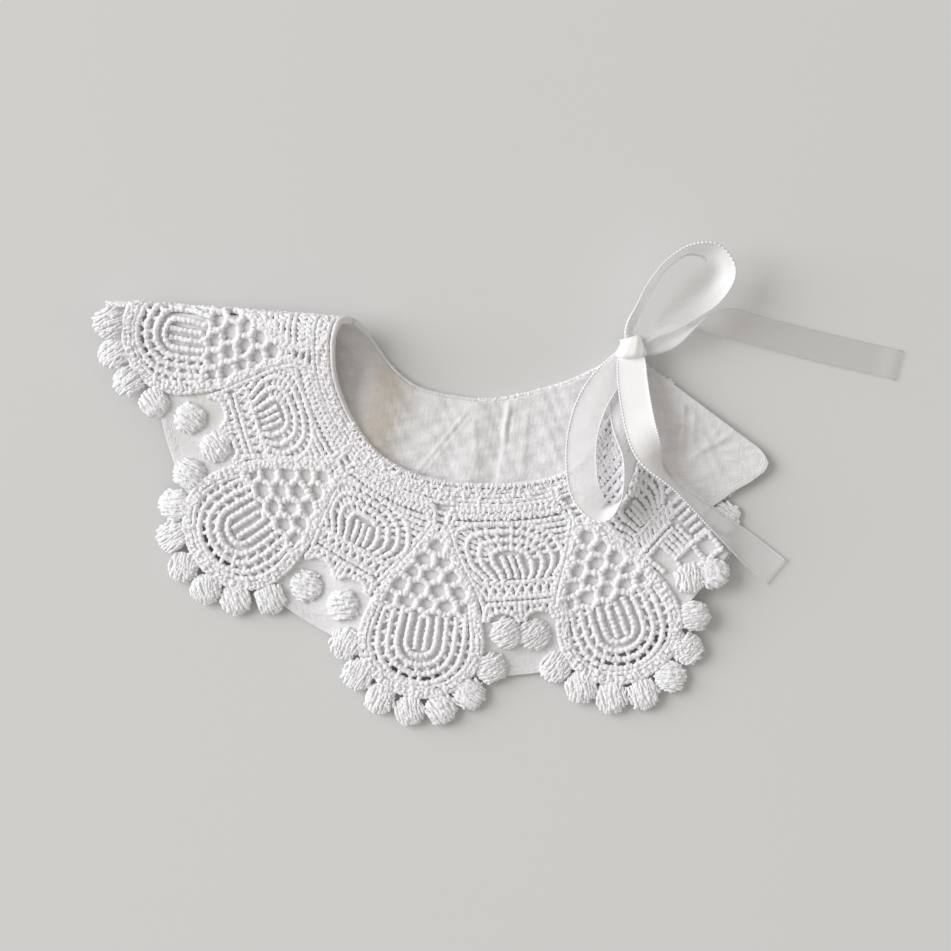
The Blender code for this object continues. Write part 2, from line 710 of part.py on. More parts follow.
clear_scene()
build_lace()
build_lining()
build_binding("binding_upper", 0.2, FOLD_NECK - SEAM / 2)
build_binding("binding_lower", FOLD_NECK + SEAM / 2, NECK_LENGTH - 0.2)
build_knot()
ribbon("bow_loop_upper", UPPER_LOOP)
ribbon("bow_loop_lower", LOWER_LOOP)
ribbon("bow_tail_short", SHORT_TAIL)
ribbon("bow_tail_long", LONG_TAIL)
ribbon("tie_upper", UPPER_TIE)
ribbon("tie_lower", LOWER_TIE)
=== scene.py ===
import math

import bmesh
import bpy
import numpy as np
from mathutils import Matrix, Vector


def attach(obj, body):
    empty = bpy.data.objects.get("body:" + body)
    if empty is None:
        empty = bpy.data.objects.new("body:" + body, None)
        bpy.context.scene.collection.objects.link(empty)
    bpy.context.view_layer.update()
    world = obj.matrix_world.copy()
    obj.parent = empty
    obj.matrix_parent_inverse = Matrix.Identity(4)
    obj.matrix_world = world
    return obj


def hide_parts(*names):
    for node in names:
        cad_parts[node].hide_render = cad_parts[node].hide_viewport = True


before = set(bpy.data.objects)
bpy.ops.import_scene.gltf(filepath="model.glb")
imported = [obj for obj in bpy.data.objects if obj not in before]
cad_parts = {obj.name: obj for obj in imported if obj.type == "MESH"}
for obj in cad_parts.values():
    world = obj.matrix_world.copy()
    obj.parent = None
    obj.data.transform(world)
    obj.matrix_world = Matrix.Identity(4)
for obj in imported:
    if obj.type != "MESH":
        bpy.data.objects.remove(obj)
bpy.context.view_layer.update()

MM = 0.001
CLEAR_OF_TABLE = 0.03
RANDOM = np.random.default_rng(11)

# ---- The collar's cut, as in the solids, in millimetres --------------------
NECK_LENGTH = 238.0
REPEATS = 7
UPPER_MEDALLIONS = 4
PITCH = 30.6
FIRST_MEDALLION = (NECK_LENGTH - (REPEATS - 1) * PITCH) / 2
MEDALLION_DEPTH = 50.0
MEDALLION_RADIUS = 18.8
MEDALLION_SPREAD = 2.2
POMPOMS = 9
POMPOM_STEP = math.radians(26.5)
POMPOM_RING = 22.4
POMPOM_FLARE = 5.3
BACK_POMPOMS = ((5.0, 54.5), (NECK_LENGTH - 5.0, 50.5))
LINING_DEPTH_ENDS = 53.0
LINING_DEPTH_MIDDLE = 60.0
LACE_WALL = 1.3
LINING_WALL = 1.0
SEAM = 0.3
BINDING_WIDTH = 1.6
FAN = NECK_LENGTH / math.radians(313.0)      # radius of the neck edge, cut flat

FOLD_AT = np.array((-49.8, 51.9))
FOLD_HEADING = math.radians(175.5)
ALONG = np.array((math.cos(FOLD_HEADING), math.sin(FOLD_HEADING)))
ACROSS = np.array((-ALONG[1], ALONG[0]))
LOWER_SEAM = LACE_WALL + SEAM / 2
UPPER_SEAM = 4.8
LOW_SEAM = 1.75
ROLL_REACH = 4.5
ROLL_RISE = 2.0
ROLL_TABLE = (  # along the fold from its neck end, radius
    (-110.0, 4.0), (-80.0, 4.0), (-25.0, 8.0), (0.0, 8.8),
    (30.0, 6.6), (60.0, 4.4), (75.0, 4.0), (95.0, 4.0),
)
UPPER_ROWS = (  # along the neck, neck x, neck y, medallion x, medallion y
    (0.0, 37.3, 22.4, 70.8, -19.3),
    (27.2, 20.2, 2.1, 38.0, -46.5),
    (57.8, -17.6, -0.8, -26.0, -51.0),
    (88.4, -43.1, 11.5, -83.6, -14.6),
    (119.0, -54.4, 41.1, -103.3, 48.7),
    (136.4, -50.5, 57.3, -99.0, 84.0),
)
LOWER_ROWS = (  # the same, as it lies after the fold
    (149.6, -38.5, 39.8, -71.5, 9.5),
    (180.2, -12.4, 26.3, -20.0, -22.0),
    (210.8, 17.6, 30.2, 49.0, -11.0),
    (238.0, 42.1, 41.8, 81.7, 12.6),
)
FOLD_NECK = 139.0


def smooth(rows, at):
    """A smooth curve through a table's rows; the first column is the distance along it."""
    table = np.asarray(rows, float)
    knots, values = table[:, 0], table[:, 1:]
    slopes = np.gradient(values, knots, axis=0)
    at = np.clip(np.atleast_1d(np.asarray(at, float)), knots[0], knots[-1])
    i = np.clip(np.searchsorted(knots, at, side="right") - 1, 0, len(knots) - 2)
    span = (knots[i + 1] - knots[i])[:, None]
    f = (at - knots[i])[:, None] / span
    return ((2 * f**3 - 3 * f**2 + 1) * values[i] + (f**3 - 2 * f**2 + f) * span * slopes[i]
            + (3 * f**2 - 2 * f**3) * values[i + 1] + (f**3 - f**2) * span * slopes[i + 1])


def ease(value):
    """A soft step from 0 to 1."""
    v = np.clip(value, 0.0, 1.0)
    return v * v * (3 - 2 * v)


def arc_lengths(line):
    """The distance along a line at each of its points."""
    return np.concatenate(((0.0,), np.cumsum(np.linalg.norm(np.diff(line, axis=0), axis=1))))


# the lower half's outline, as discs about its medallions and about points of its neck edge
DROP_START, DROP_END = 0.5, 19.0
LOWER_REACH = 28.5
LOWER_DISCS = [*(row[3:5] for row in LOWER_ROWS[:3]), (-100.5, 68.0), (-92.0, 40.0)]
LOWER_NECK = np.vstack((FOLD_AT, smooth(LOWER_ROWS, np.linspace(LOWER_ROWS[0][0], NECK_LENGTH, 24))[:, :2]))


def lie_height(places):
    """Height of the upper half's seam: it drops past the lower half's edge."""
    below = np.full(len(places), 1e3)
    for centres, radius in ((LOWER_DISCS, LOWER_REACH), (LOWER_NECK, LINING_DEPTH_MIDDLE)):
        for centre in centres:
            below = np.minimum(below, np.hypot(*(places - centre).T) - radius)
    return LOW_SEAM + (UPPER_SEAM - LOW_SEAM) * ease((DROP_END - below) / (DROP_END - DROP_START))


STATION_STEP = 1.0
STATIONS = np.arange(-110.0, 96.0, STATION_STEP)
ARC_PARTS = 80


def roll_sections():
    """The sloping side of the fold at each station: distance out, height, spare length."""
    radius = smooth(ROLL_TABLE, STATIONS)[:, 0]
    out = np.empty((len(STATIONS), ARC_PARTS + 1))
    high, spare = np.empty_like(out), np.empty(len(STATIONS))
    step = np.linspace(0.0, 1.0, 161)
    ends = lie_height(FOLD_AT + STATIONS[:, None] * ALONG + (ROLL_REACH * radius)[:, None] * ACROSS)
    for i, (r, end) in enumerate(zip(radius, ends)):
        reach, start = ROLL_REACH * r, LOWER_SEAM + r
        x = 3 * (1 - step) * step**2 * reach * 0.55 + step**3 * reach
        z = ((1 - step)**3 * start + 3 * (1 - step)**2 * step * (start + ROLL_RISE * r)
             + (3 * (1 - step) * step**2 + step**3) * end)
        arc = np.concatenate(((0.0,), np.cumsum(np.hypot(np.diff(x), np.diff(z)))))
        even = np.linspace(0.0, arc[-1], ARC_PARTS + 1)
        out[i], high[i] = np.interp(even, arc, x), np.interp(even, arc, z)
        spare[i] = arc[-1] - reach
    return radius, out, high, spare


ROLL_RADIUS, ROLL_OUT, ROLL_HIGH, ROLL_SPARE = roll_sections()


def at_station(values, along):
    return np.interp(along, STATIONS, values)


def at_section(values, along, share):
    i = np.clip((along - STATIONS[0]) / STATION_STEP, 0, len(STATIONS) - 1.001)
    j = np.clip(share * ARC_PARTS, 0, ARC_PARTS - 0.001)
    i0, j0 = i.astype(int), j.astype(int)
    fi, fj = i - i0, j - j0
    return ((values[i0, j0] * (1 - fi) + values[i0 + 1, j0] * fi) * (1 - fj)
            + (values[i0, j0 + 1] * (1 - fi) + values[i0 + 1, j0 + 1] * fi) * fj)


def fold_place(points):
    """Distance along the fold and across it."""
    return (points - FOLD_AT) @ ALONG, (points - FOLD_AT) @ ACROSS


def unfold(places):
    """The point of the flat cloth that lies at each place of the lower half."""
    along, across = fold_place(places)
    radius = at_station(ROLL_RADIUS, along)
    under = across - radius + radius * math.pi / 2
    return (FOLD_AT + along[:, None] * ALONG
            - (at_station(ROLL_SPARE, along) + under)[:, None] * ACROSS)


def rest(flat):
    """Where points of the flat cloth lie once it is folded: the seam of lace and lining."""
    along, across = fold_place(flat)
    radius, spare = at_station(ROLL_RADIUS, along), at_station(ROLL_SPARE, along)
    reach = ROLL_REACH * radius
    share = np.clip((across + spare) / (reach + spare), 0.0, 1.0)
    past = np.maximum(across - reach, 0.0)
    out = at_section(ROLL_OUT, along, share) + past
    high = at_section(ROLL_HIGH, along, share)
    under = -spare - across
    turn = np.clip(under / radius, 0.0, math.pi / 2)
    out_low = radius * (1 - np.cos(turn)) + np.maximum(under - radius * math.pi / 2, 0.0)
    high_low = LOWER_SEAM + radius * (1 - np.sin(turn))
    lower = under > 0
    places = FOLD_AT + along[:, None] * ALONG + np.where(lower, out_low, out)[:, None] * ACROSS
    high = np.where(past > 0, lie_height(places), high)
    return np.column_stack((places, np.where(lower, high_low, high)))


def cloth(flat, offset):
    """Points off the seam: plus is towards the lace's outer face, minus towards the lining's."""
    flat = np.atleast_2d(np.asarray(flat, float))
    east, north = np.array((0.25, 0.0)), np.array((0.0, 0.25))
    normal = np.cross(rest(flat + east) - rest(flat - east), rest(flat + north) - rest(flat - north))
    normal /= np.linalg.norm(normal, axis=1)[:, None]
    return rest(flat) + normal * np.broadcast_to(offset, len(flat))[:, None]


def is_lower(flat):
    """Whether points of the flat cloth lie past the fold's lowest line."""
    along, across = fold_place(flat)
    return across < -at_station(ROLL_SPARE, along)


def flat_rows():
    """The rows of both halves in the flat cloth."""
    rows = [list(row) for row in UPPER_ROWS]
    for along, *pairs in LOWER_ROWS:
        rows.append([along, *unfold(np.array(pairs).reshape(2, 2)).ravel()])
    return rows


FLAT_ROWS = flat_rows()


def spot(along, depth):
    """A point of the flat cloth by its distance along the neck edge and its depth from it."""
    along, depth = np.broadcast_arrays(np.atleast_1d(along), np.atleast_1d(depth))
    row = smooth(FLAT_ROWS, along)
    neck, middle = row[:, :2], row[:, 2:]
    return neck + (middle - neck) * (depth / MEDALLION_DEPTH)[:, None]


def motif(index, points):
    """Points drawn about a medallion's centre, y away from the neck, set in the flat cloth."""
    along = FIRST_MEDALLION + index * PITCH
    upper = index < UPPER_MEDALLIONS
    row = smooth(UPPER_ROWS if upper else LOWER_ROWS, along)[0]
    centre, outward = row[2:4], row[2:4] - row[0:2]
    outward = outward / np.linalg.norm(outward)
    aside = np.array((outward[1], -outward[0])) * (1 if upper else -1)
    points = np.atleast_2d(points)
    places = centre + points[:, :1] * aside + points[:, 1:] * outward
    return places if upper else unfold(places)


def pompom_places():
    """Pompom centres in the flat cloth, with the direction that points away from the lace."""
    places, aims = [], []
    for index in range(REPEATS):
        for k in range(POMPOMS):
            turn = k - (POMPOMS - 1) / 2
            out = POMPOM_RING + POMPOM_FLARE * (abs(turn) / 4) ** 4
            aim = np.array((math.sin(turn * POMPOM_STEP), math.cos(turn * POMPOM_STEP)))
            place, beyond = motif(index, (out * aim, (out + 1) * aim))
            places.append(place)
            aims.append(beyond - place)
    for along, depth in BACK_POMPOMS:
        place, beyond = spot((along, along), (depth, depth + 1))
        places.append(place)
        aims.append(beyond - place)
    return np.array(places), np.array(aims)


POMPOM_PLACES, POMPOM_AIMS = pompom_places()


# ---- Materials -------------------------------------------------------------
def feed(tree, socket, value):
    """Link another node's output to a socket, or set the socket's value."""
    if isinstance(value, bpy.types.NodeSocket):
        tree.links.new(value, socket)
    else:
        socket.default_value = value


def add_node(tree, kind, settings=(), **inputs):
    """A node with its settings, and its inputs set or linked by name."""
    node = tree.nodes.new(kind)
    for name, value in dict(settings).items():
        setattr(node, name, value)
    for name, value in inputs.items():
        feed(tree, node.inputs[name.replace("_", " ")], value)
    return node


def calculate(tree, operation, *values, kind="ShaderNodeMath"):
    """A sum on values or other nodes' outputs, in their order."""
    node = add_node(tree, kind, {"operation": operation})
    for socket, value in zip(node.inputs, values):
        feed(tree, socket, value)
    return node.outputs[0]


class Finish:
    """A material, with the nodes that feed its shader on one kind of coordinates."""

    def __init__(self, name, coordinates, colour, rough, **sockets):
        self.material = bpy.data.materials.new(name)
        self.material.use_nodes = True
        self.tree = self.material.node_tree
        self.shader = self.tree.nodes["Principled BSDF"]
        self.relief = {}
        for socket, value in {"Base_Color": (*colour, 1.0), "Roughness": rough, **sockets}.items():
            self.set(socket, value)
        self.where = add_node(self.tree, "ShaderNodeTexCoord").outputs[coordinates]

    def set(self, socket, value):
        feed(self.tree, self.shader.inputs[socket.replace("_", " ")], value)

    def attribute(self, name):
        return add_node(self.tree, "ShaderNodeAttribute", {"attribute_name": name}).outputs["Fac"]

    def noise(self, scale, detail=3.0, rough=0.55, stretch=None):
        """Noise on the coordinates, which are stretched first where a stretch is given."""
        vector = self.where
        if stretch:
            vector = add_node(self.tree, "ShaderNodeMapping", Vector=vector, Scale=stretch).outputs["Vector"]
        return add_node(self.tree, "ShaderNodeTexNoise", Vector=vector, Scale=scale, Detail=detail,
                        Roughness=rough).outputs["Fac"]

    def ramp(self, value, places, colours):
        node = add_node(self.tree, "ShaderNodeValToRGB", Fac=value)
        for point, place, colour in zip(node.color_ramp.elements, places, colours):
            point.position, point.color = place, (*colour, 1.0)
        return node.outputs["Color"]

    def tinted(self, colour, attribute, tint):
        """A colour multiplied by a tint, as far as the piece's attribute says."""
        return add_node(self.tree, "ShaderNodeMix", {"data_type": "RGBA", "blend_type": "MULTIPLY"},
                        Factor=self.attribute(attribute), A=colour, B=(*tint, 1.0)).outputs["Result"]

    def bump(self, height, strength, distance):
        """Relief, on top of what was added before it."""
        node = add_node(self.tree, "ShaderNodeBump", Height=height, Strength=strength,
                        Distance=distance, **self.relief)
        self.relief = {"Normal": node.outputs["Normal"]}
        self.set("Normal", node.outputs["Normal"])


def cotton_lace():
    """Mercerised cotton embroidery: dense short stitches, a little fuzz."""
    finish = Finish("cotton lace", "Object", (0.94, 0.935, 0.95), 0.85, Sheen_Weight=0.2, Sheen_Roughness=0.6)
    patches, lumps, stitches = finish.noise(260.0), finish.noise(1300.0, 2.0), finish.noise(2300.0, 2.0)
    finish.set("Base_Color", finish.ramp(patches, (0.3, 0.7), ((0.90, 0.895, 0.92), (0.945, 0.94, 0.965))))
    finish.bump(lumps, 0.6, 0.0004)
    finish.bump(stitches, 1.0, 0.00025)
    return finish.material


def muslin():
    """Slubbed, slightly crinkled cotton muslin, its weave along the piece's own map."""
    finish = Finish("cotton muslin", "UV", (0.84, 0.83, 0.82), 0.9, Sheen_Weight=0.15)
    slub = finish.noise(1.0, 4.0, 0.6, (140.0, 900.0, 1.0))
    weft = finish.noise(1.0, 4.0, 0.6, (1100.0, 170.0, 1.0))
    crinkled = finish.noise(1.0, 5.0, 0.6, (90.0, 260.0, 1.0))
    plain = finish.ramp(crinkled, (0.3, 0.75), ((0.75, 0.742, 0.755), (0.845, 0.837, 0.85)))
    # painted shade: the lining's colour is darkened and warmed in a band beside the fold's roll, standing in
    # for the roll's shadow
    finish.set("Base_Color", finish.tinted(plain, "painted roll shade", (0.80, 0.745, 0.67)))
    finish.bump(crinkled, 0.8, 0.0011)
    finish.bump(calculate(finish.tree, "ADD", slub, weft), 0.7, 0.0003)
    return finish.material


def satin():
    """Thin satin ribbon: lengthwise threads, laddered selvedges, see-through where its weave is open."""
    finish = Finish("satin ribbon", "UV", (0.9, 0.9, 0.89), 0.34, Anisotropic=0.5, Sheen_Weight=0.1)
    threads = finish.noise(1.0, 2.0, stretch=(90.0, 4200.0, 1.0))
    streaks = finish.noise(1.0, 2.0, stretch=(60.0, 500.0, 1.0))
    plain = finish.ramp(streaks, (0.3, 0.7), ((0.965, 0.96, 0.975), (1.0, 0.995, 1.0)))
    # painted shade: the long tail's colour is darkened and warmed where it lies on the table, standing in for
    # the shade under the sheer ribbon
    finish.set("Base_Color", finish.tinted(plain, "painted_tail_shade", (0.62, 0.59, 0.55)))
    ladder = add_node(finish.tree, "ShaderNodeTexWave", Vector=finish.where, Scale=310.0).outputs["Fac"]
    finish.bump(threads, 0.3, 0.0001)
    finish.bump(calculate(finish.tree, "MULTIPLY", ladder, finish.attribute("selvedge")), 0.8, 0.0003)
    finish.set("Alpha", finish.attribute("cover"))
    return finish.material


def table_top():
    finish = Finish("pale table", "Object", (0.67, 0.67, 0.664), 0.75)
    cloud = finish.noise(2.2, 2.0)
    finish.set("Base_Color", finish.ramp(cloud, (0.3, 0.7), ((0.664, 0.664, 0.658), (0.676, 0.676, 0.670))))
    return finish.material


LACE, MUSLIN, SATIN = cotton_lace(), muslin(), satin()


# ---- Meshes ----------------------------------------------------------------
def in_scene(name, mesh):
    piece = bpy.data.objects.new(name, mesh)
    bpy.context.scene.collection.objects.link(piece)
    return piece


def new_piece(name, verts, faces, material, flat=None):
    """A piece from points in millimetres, with its map from the flat cloth's own points."""
    mesh = bpy.data.meshes.new(name)
    mesh.from_pydata([tuple(v) for v in np.asarray(verts) * MM], [], faces)
    mesh.update()
    mesh.shade_smooth()
    mesh.materials.append(material)
    if flat is not None:
        uv = mesh.uv_layers.new(name="UVMap")
        corner = np.empty(len(mesh.loops), dtype=np.int32)
        mesh.loops.foreach_get("vertex_index", corner)
        uv.data.foreach_set("uv", (np.asarray(flat)[corner] * MM).ravel())
    return in_scene(name, mesh)


def set_values(mesh, name, values):
    """One number for each point of a mesh."""
    mesh.attributes.new(name, "FLOAT", "POINT").data.foreach_set("value", values)


def face_outward(piece):
    mesh = bmesh.new()
    mesh.from_mesh(piece.data)
    bmesh.ops.recalc_face_normals(mesh, faces=mesh.faces)
    mesh.to_mesh(piece.data)
    mesh.free()
    return piece


def ring_faces(rings, sides, start=0):
    """The faces between rings of points that follow one another."""
    faces = []
    for i in range(rings - 1):
        for j in range(sides):
            a, b = start + i * sides + j, start + i * sides + (j + 1) % sides
            faces.append((a, b, b + sides, a + sides))
    return faces


def cord_tree(material):
    """Bumpy stitched cords along the edges of a mesh; 'thick' is each point's radius."""
    tree = bpy.data.node_groups.new("stitched cords", "GeometryNodeTree")
    face = tree.interface
    face.new_socket("Geometry", in_out="INPUT", socket_type="NodeSocketGeometry")
    for name, value in (("Step", 0.00045), ("Stitch", 0.0017), ("Stitch depth", 0.15),
                        ("Unevenness", 0.7), ("Wander", 0.00024), ("Fuzz", 0.0006), ("Fuzz scale", 1250.0)):
        face.new_socket(name, in_out="INPUT", socket_type="NodeSocketFloat").default_value = value
    for name, value in (("Sides", 6), ("Seed", 3)):
        face.new_socket(name, in_out="INPUT", socket_type="NodeSocketInt").default_value = value
    face.new_socket("Geometry", in_out="OUTPUT", socket_type="NodeSocketGeometry")
    given = add_node(tree, "NodeGroupInput").outputs

    def add(kind, settings=(), **inputs):
        return add_node(tree, "GeometryNode" + kind, settings, **inputs).outputs[0]

    def work_out(operation, *values):
        return calculate(tree, operation, *values)

    def uneven(scale):
        return add_node(tree, "ShaderNodeTexNoise", {"noise_dimensions": "4D"}, Scale=scale, Detail=2.0,
                        W=given["Seed"]).outputs

    def scaled(vector, amount):
        return calculate(tree, "SCALE", vector, (0.0,) * 3, (0.0,) * 3, amount, kind="ShaderNodeVectorMath")

    line = add("MeshToCurve", Mesh=given["Geometry"])
    line = add("ResampleCurve", {"mode": "LENGTH"}, Curve=line, Length=given["Step"])
    aside = calculate(tree, "SUBTRACT", uneven(700.0)["Color"], (0.5, 0.5, 0.5), kind="ShaderNodeVectorMath")
    drift = scaled(aside, work_out("MULTIPLY", given["Wander"], 4.0))
    line = add("SetPosition", Geometry=line, Offset=drift)
    run = add_node(tree, "GeometryNodeSplineParameter").outputs["Length"]
    wave = work_out("SINE", work_out("MULTIPLY", work_out("DIVIDE", run, given["Stitch"]), 2 * math.pi))
    rough = work_out("SUBTRACT", uneven(1100.0)["Fac"], 0.5)
    lump = work_out("ADD", work_out("MULTIPLY", wave, given["Stitch depth"]),
                    work_out("MULTIPLY", rough, given["Unevenness"]))
    thick = add("InputNamedAttribute", {"data_type": "FLOAT"}, Name="thick")
    tube = add("CurveToMesh", Curve=line, Fill_Caps=True,
               Profile_Curve=add("CurvePrimitiveCircle", Radius=1.0, Resolution=given["Sides"]),
               Scale=work_out("MULTIPLY", thick, work_out("ADD", lump, 1.0)))
    push = work_out("MULTIPLY", work_out("SUBTRACT", uneven(given["Fuzz scale"])["Fac"], 0.5),
                    work_out("MULTIPLY", given["Fuzz"], 2.0))
    made = add("SetPosition", Geometry=tube, Offset=scaled(add("InputNormal"), push))
    made = add("RealizeInstances", Geometry=add("SetShadeSmooth", Geometry=made))
    add_node(tree, "NodeGroupOutput", Geometry=add("SetMaterial", Geometry=made, Material=material))
    return tree


class Cords:
    """Lines that are to become stitched cords, with the radius at each point."""

    def __init__(self):
        self.verts, self.edges, self.thick, self.count = [], [], [], 0

    def add(self, points, radius):
        n = len(points)
        self.verts.append(points)
        self.edges += [(self.count + i, self.count + i + 1) for i in range(n - 1)]
        self.thick.append(np.broadcast_to(radius, n))
        self.count += n

    def piece(self, name, **sizes):
        """Run the cords' node tree on the lines and keep what it makes as a plain mesh."""
        lines = bpy.data.meshes.new(name + "_lines")
        lines.from_pydata([tuple(v) for v in np.vstack(self.verts) * MM], self.edges, [])
        set_values(lines, "thick", np.concatenate(self.thick) * MM)
        source = in_scene(name + "_lines", lines)
        modifier = source.modifiers.new("made", "NODES")
        modifier.node_group = CORD_TREE
        for item in CORD_TREE.interface.items_tree:
            if item.in_out == "INPUT" and item.name in sizes:
                modifier[item.identifier] = sizes[item.name]
        seen = source.evaluated_get(bpy.context.evaluated_depsgraph_get())
        mesh = bpy.data.meshes.new_from_object(seen)
        mesh.name = name
        places = np.empty(len(mesh.vertices) * 3)
        mesh.vertices.foreach_get("co", places)
        places[2::3] = np.maximum(places[2::3], CLEAR_OF_TABLE * MM)
        mesh.vertices.foreach_set("co", places)
        bpy.data.objects.remove(source)
        return in_scene(name, mesh)


CORD_TREE = cord_tree(LACE)
HALVES = ("upper", "lower")
PIECES = []      # each piece, its finish and the solid that it stands for


def keep(piece, finish, solid):
    PIECES.append((piece, finish, solid))
    return piece


# ---- The lace: cords drawn in the flat cloth -------------------------------
# radius of each kind of cord
CORD, THIN_CORD, BORDER_CORD, BAND_CORD, LINK, WHIP, NET_CORD = 1.0, 0.92, 0.9, 0.86, 0.78, 0.42, 1.12
# height of a cord's middle over the seam; the last three lie over other cords
CORD_LIFT, LINK_LIFT, BORDER_OVER, VALLEY_OVER, NECK_OVER = 0.36, 0.21, 0.78, 0.71, 0.66

# the medallion: points about its centre, y away from the neck
PETAL = (  # half width and distance from the medallion's centre, from the neck down
    (2.4, -39.0), (5.0, -33.5), (8.4, -28.0), (12.0, -22.8), (15.6, -17.4), (18.6, -11.6), (20.4, -5.6),
)
BORDER_INSETS = (1.5, 3.0, 4.5)
ARM_FROM, ARM_TO = -39.5, -12.0
RING_CENTRE = 0.6
RING_AXES = tuple((13.6 - 3.0 * k, 12.4 - 3.0 * k) for k in range(4))
RING_TOPS = (-11.5, -10.0, -9.6, -9.4)
RING_LINKS = (16, 13)
BORDER_AXES, BORDER_LINKS, BORDER_TURN = (16.2, 14.6), 23, 126
LOOP_AXES, LOOP_CENTRE, LOOP_TOP, LOOP_FOOT = (1.5, -1.4), -7.4, 2.2, -7.0
APEX_ARMS = (  # the right one of each pair of lines up to the neck band, and its radius
    (((2.0, -38.6), (2.2, -41.5), (3.6, -44.4)), CORD),
    (((3.4, -37.6), (4.0, -40.8), (6.6, -43.8)), THIN_CORD),
)
APEX_RUNGS = ((-35.6, 1.6), (-37.8, 1.4), (-40.0, 2.6), (-42.2, 3.4))      # y, half length
NET_ROWS = ((18.8, 1), (23.4, 2), (28.0, 3), (32.6, 4), (37.2, 5))      # depth, cells across
NET_PITCH, NET_HALF, NET_JITTER = 6.4, 3.07, 0.38

# the valley between two medallions: x from its middle, and depth from the neck
ARCHES = ((14.8, 10.8), (11.6, 13.3), (8.4, 15.9), (5.2, 18.5))   # half width, depth of the top
ARCH_FOOT, ARCH_END, ARCH_LEAN, ARCH_ROUND, ARCH_POINT = 23.0, 28.6, 0.25, 0.8, 0.75
VALLEY_CORDS, VALLEY_STITCHES, VALLEY_REACH = (6.8, 8.8), 17, 13.0
VALLEY_POSTS = (-2.2, 0.0, 2.2)
VALLEY_RUNGS = (10.8, 12.8, 14.8, 16.8, 18.8)
VALLEY_BARS = (29.4, 34.0, 36.0)
VALLEY_FEET = (24.0, 27.0)
POST = ((0.0, 36.0), (0.0, 41.4))
SIDE_POST = ((9.4, 36.2), (10.6, 38.6), (11.0, 41.2))
POMPOM_ARCH = (5.4, 4.7, 41.6, 3.6)      # middle x, half width, depth of the feet, rise

# the back ends: x from the back edge
BACK_BAR = ((1.6, 44.4), (9.0, 43.6), (19.0, 43.0))
BACK_HEM = ((1.7, 51.0), (5.6, 50.8), (10.6, 50.4), (16.0, 49.6))
BACK_POSTS = ((1.7, 51.0), (10.6, 50.6), (20.6, 47.0))      # x, depth of the foot
BACK_TOP, BACK_EDGE = 44.4, 1.5
NECK_CORDS, NECK_END = (0.7, 2.2, 3.7, 5.2), 1.4
BINDING_WHIPS = (  # from and to along the neck, farthest reach, lifts along a stitch
    (1.6, 98.0, 0.9, (0.5, 1.2, 1.35, 0.9)),
    (186.0, 236.0, -0.7, (-0.5, -0.95, -1.05, -0.95)),
)

FLAT_CORDS = []        # flat points, radius, height over the seam


def line_through(points, step=1.0):
    points = np.asarray(points, float)
    arc = arc_lengths(points)
    return smooth(np.column_stack((arc, points)), np.linspace(0, arc[-1], max(2, round(arc[-1] / step)) + 1))


def draw(place, points, radius=CORD, lift=CORD_LIFT, step=1.0):
    FLAT_CORDS.append((place(line_through(points, step)), radius, lift))


def mirrored(points, side):
    return [(side * x, y) for x, y in points]


def petal_line(inset):
    """The medallion's border with its two arms, which run up to the neck."""
    turn = np.radians(np.arange(90, -91, -10.0))
    radius = MEDALLION_RADIUS + MEDALLION_SPREAD * np.sin(turn) ** 2
    hem = np.column_stack((radius * np.sin(turn), radius * np.cos(turn)))
    line = line_through(np.vstack((PETAL, hem, mirrored(PETAL[::-1], -1))), 1.5)
    ahead = np.gradient(line, axis=0)
    ahead /= np.linalg.norm(ahead, axis=1)[:, None]
    inward = np.column_stack((-ahead[:, 1], ahead[:, 0]))
    if inward[len(line) // 2, 1] > 0:
        inward = -inward
    return line + inward * (inset * (1 - 0.5 * ease((-line[:, 1] - 10) / 10)))[:, None]


def oval(axes, start, end, count, centre=RING_CENTRE):
    turn = np.radians(np.linspace(start, end, count))
    return np.column_stack((axes[0] * np.sin(turn), centre + axes[1] * np.cos(turn)))


def horseshoe(axes, top):
    """A rounded rib, open towards the neck, its legs drawn in a little."""
    low = oval(axes, -90, 90, 17)
    legs = [(axes[0] * 0.93, top), (axes[0], (top + RING_CENTRE) / 2)]
    return line_through(np.vstack((mirrored(legs, -1), low, legs[::-1])))


def along_line(line, share):
    """Points at the given shares of a line's length."""
    arc = arc_lengths(line)
    return np.column_stack([np.interp(share * arc[-1], arc, line[:, i]) for i in range(2)])


def draw_medallion(index):
    """Border, tip, nested ribs with their links, the loop in the middle, and the net."""
    def place(points):
        return motif(index, points)

    for inset in BORDER_INSETS:
        draw(place, petal_line(inset), BORDER_CORD)
    whip_border(place)
    draw_apex(place)
    nested = [horseshoe(axes, top) for axes, top in zip(RING_AXES, RING_TOPS)]
    for line in nested:
        draw(place, line)
    leg = [(LOOP_AXES[0], LOOP_FOOT), (LOOP_AXES[0], LOOP_TOP)]
    low = oval(LOOP_AXES, -80, 80, 5, LOOP_CENTRE)
    draw(place, np.vstack((mirrored(leg[::-1], -1), low, leg)), THIN_CORD)
    turns = np.linspace(-BORDER_TURN, BORDER_TURN, BORDER_LINKS) + RANDOM.uniform(-1.5, 1.5, BORDER_LINKS)
    for turn in turns:
        ends = np.vstack((oval(BORDER_AXES, turn, turn, 1), oval(RING_AXES[0], turn, turn, 1)))
        draw(place, ends, LINK, LINK_LIFT)
    for count, outer, inner in zip(RING_LINKS, nested, nested[1:]):
        share = (np.arange(count) + 0.5) / count + RANDOM.uniform(-0.008, 0.008, count)
        for a, b in zip(along_line(outer, share), along_line(inner, share)):
            draw(place, (a, b), LINK, LINK_LIFT)
    draw_net(place)


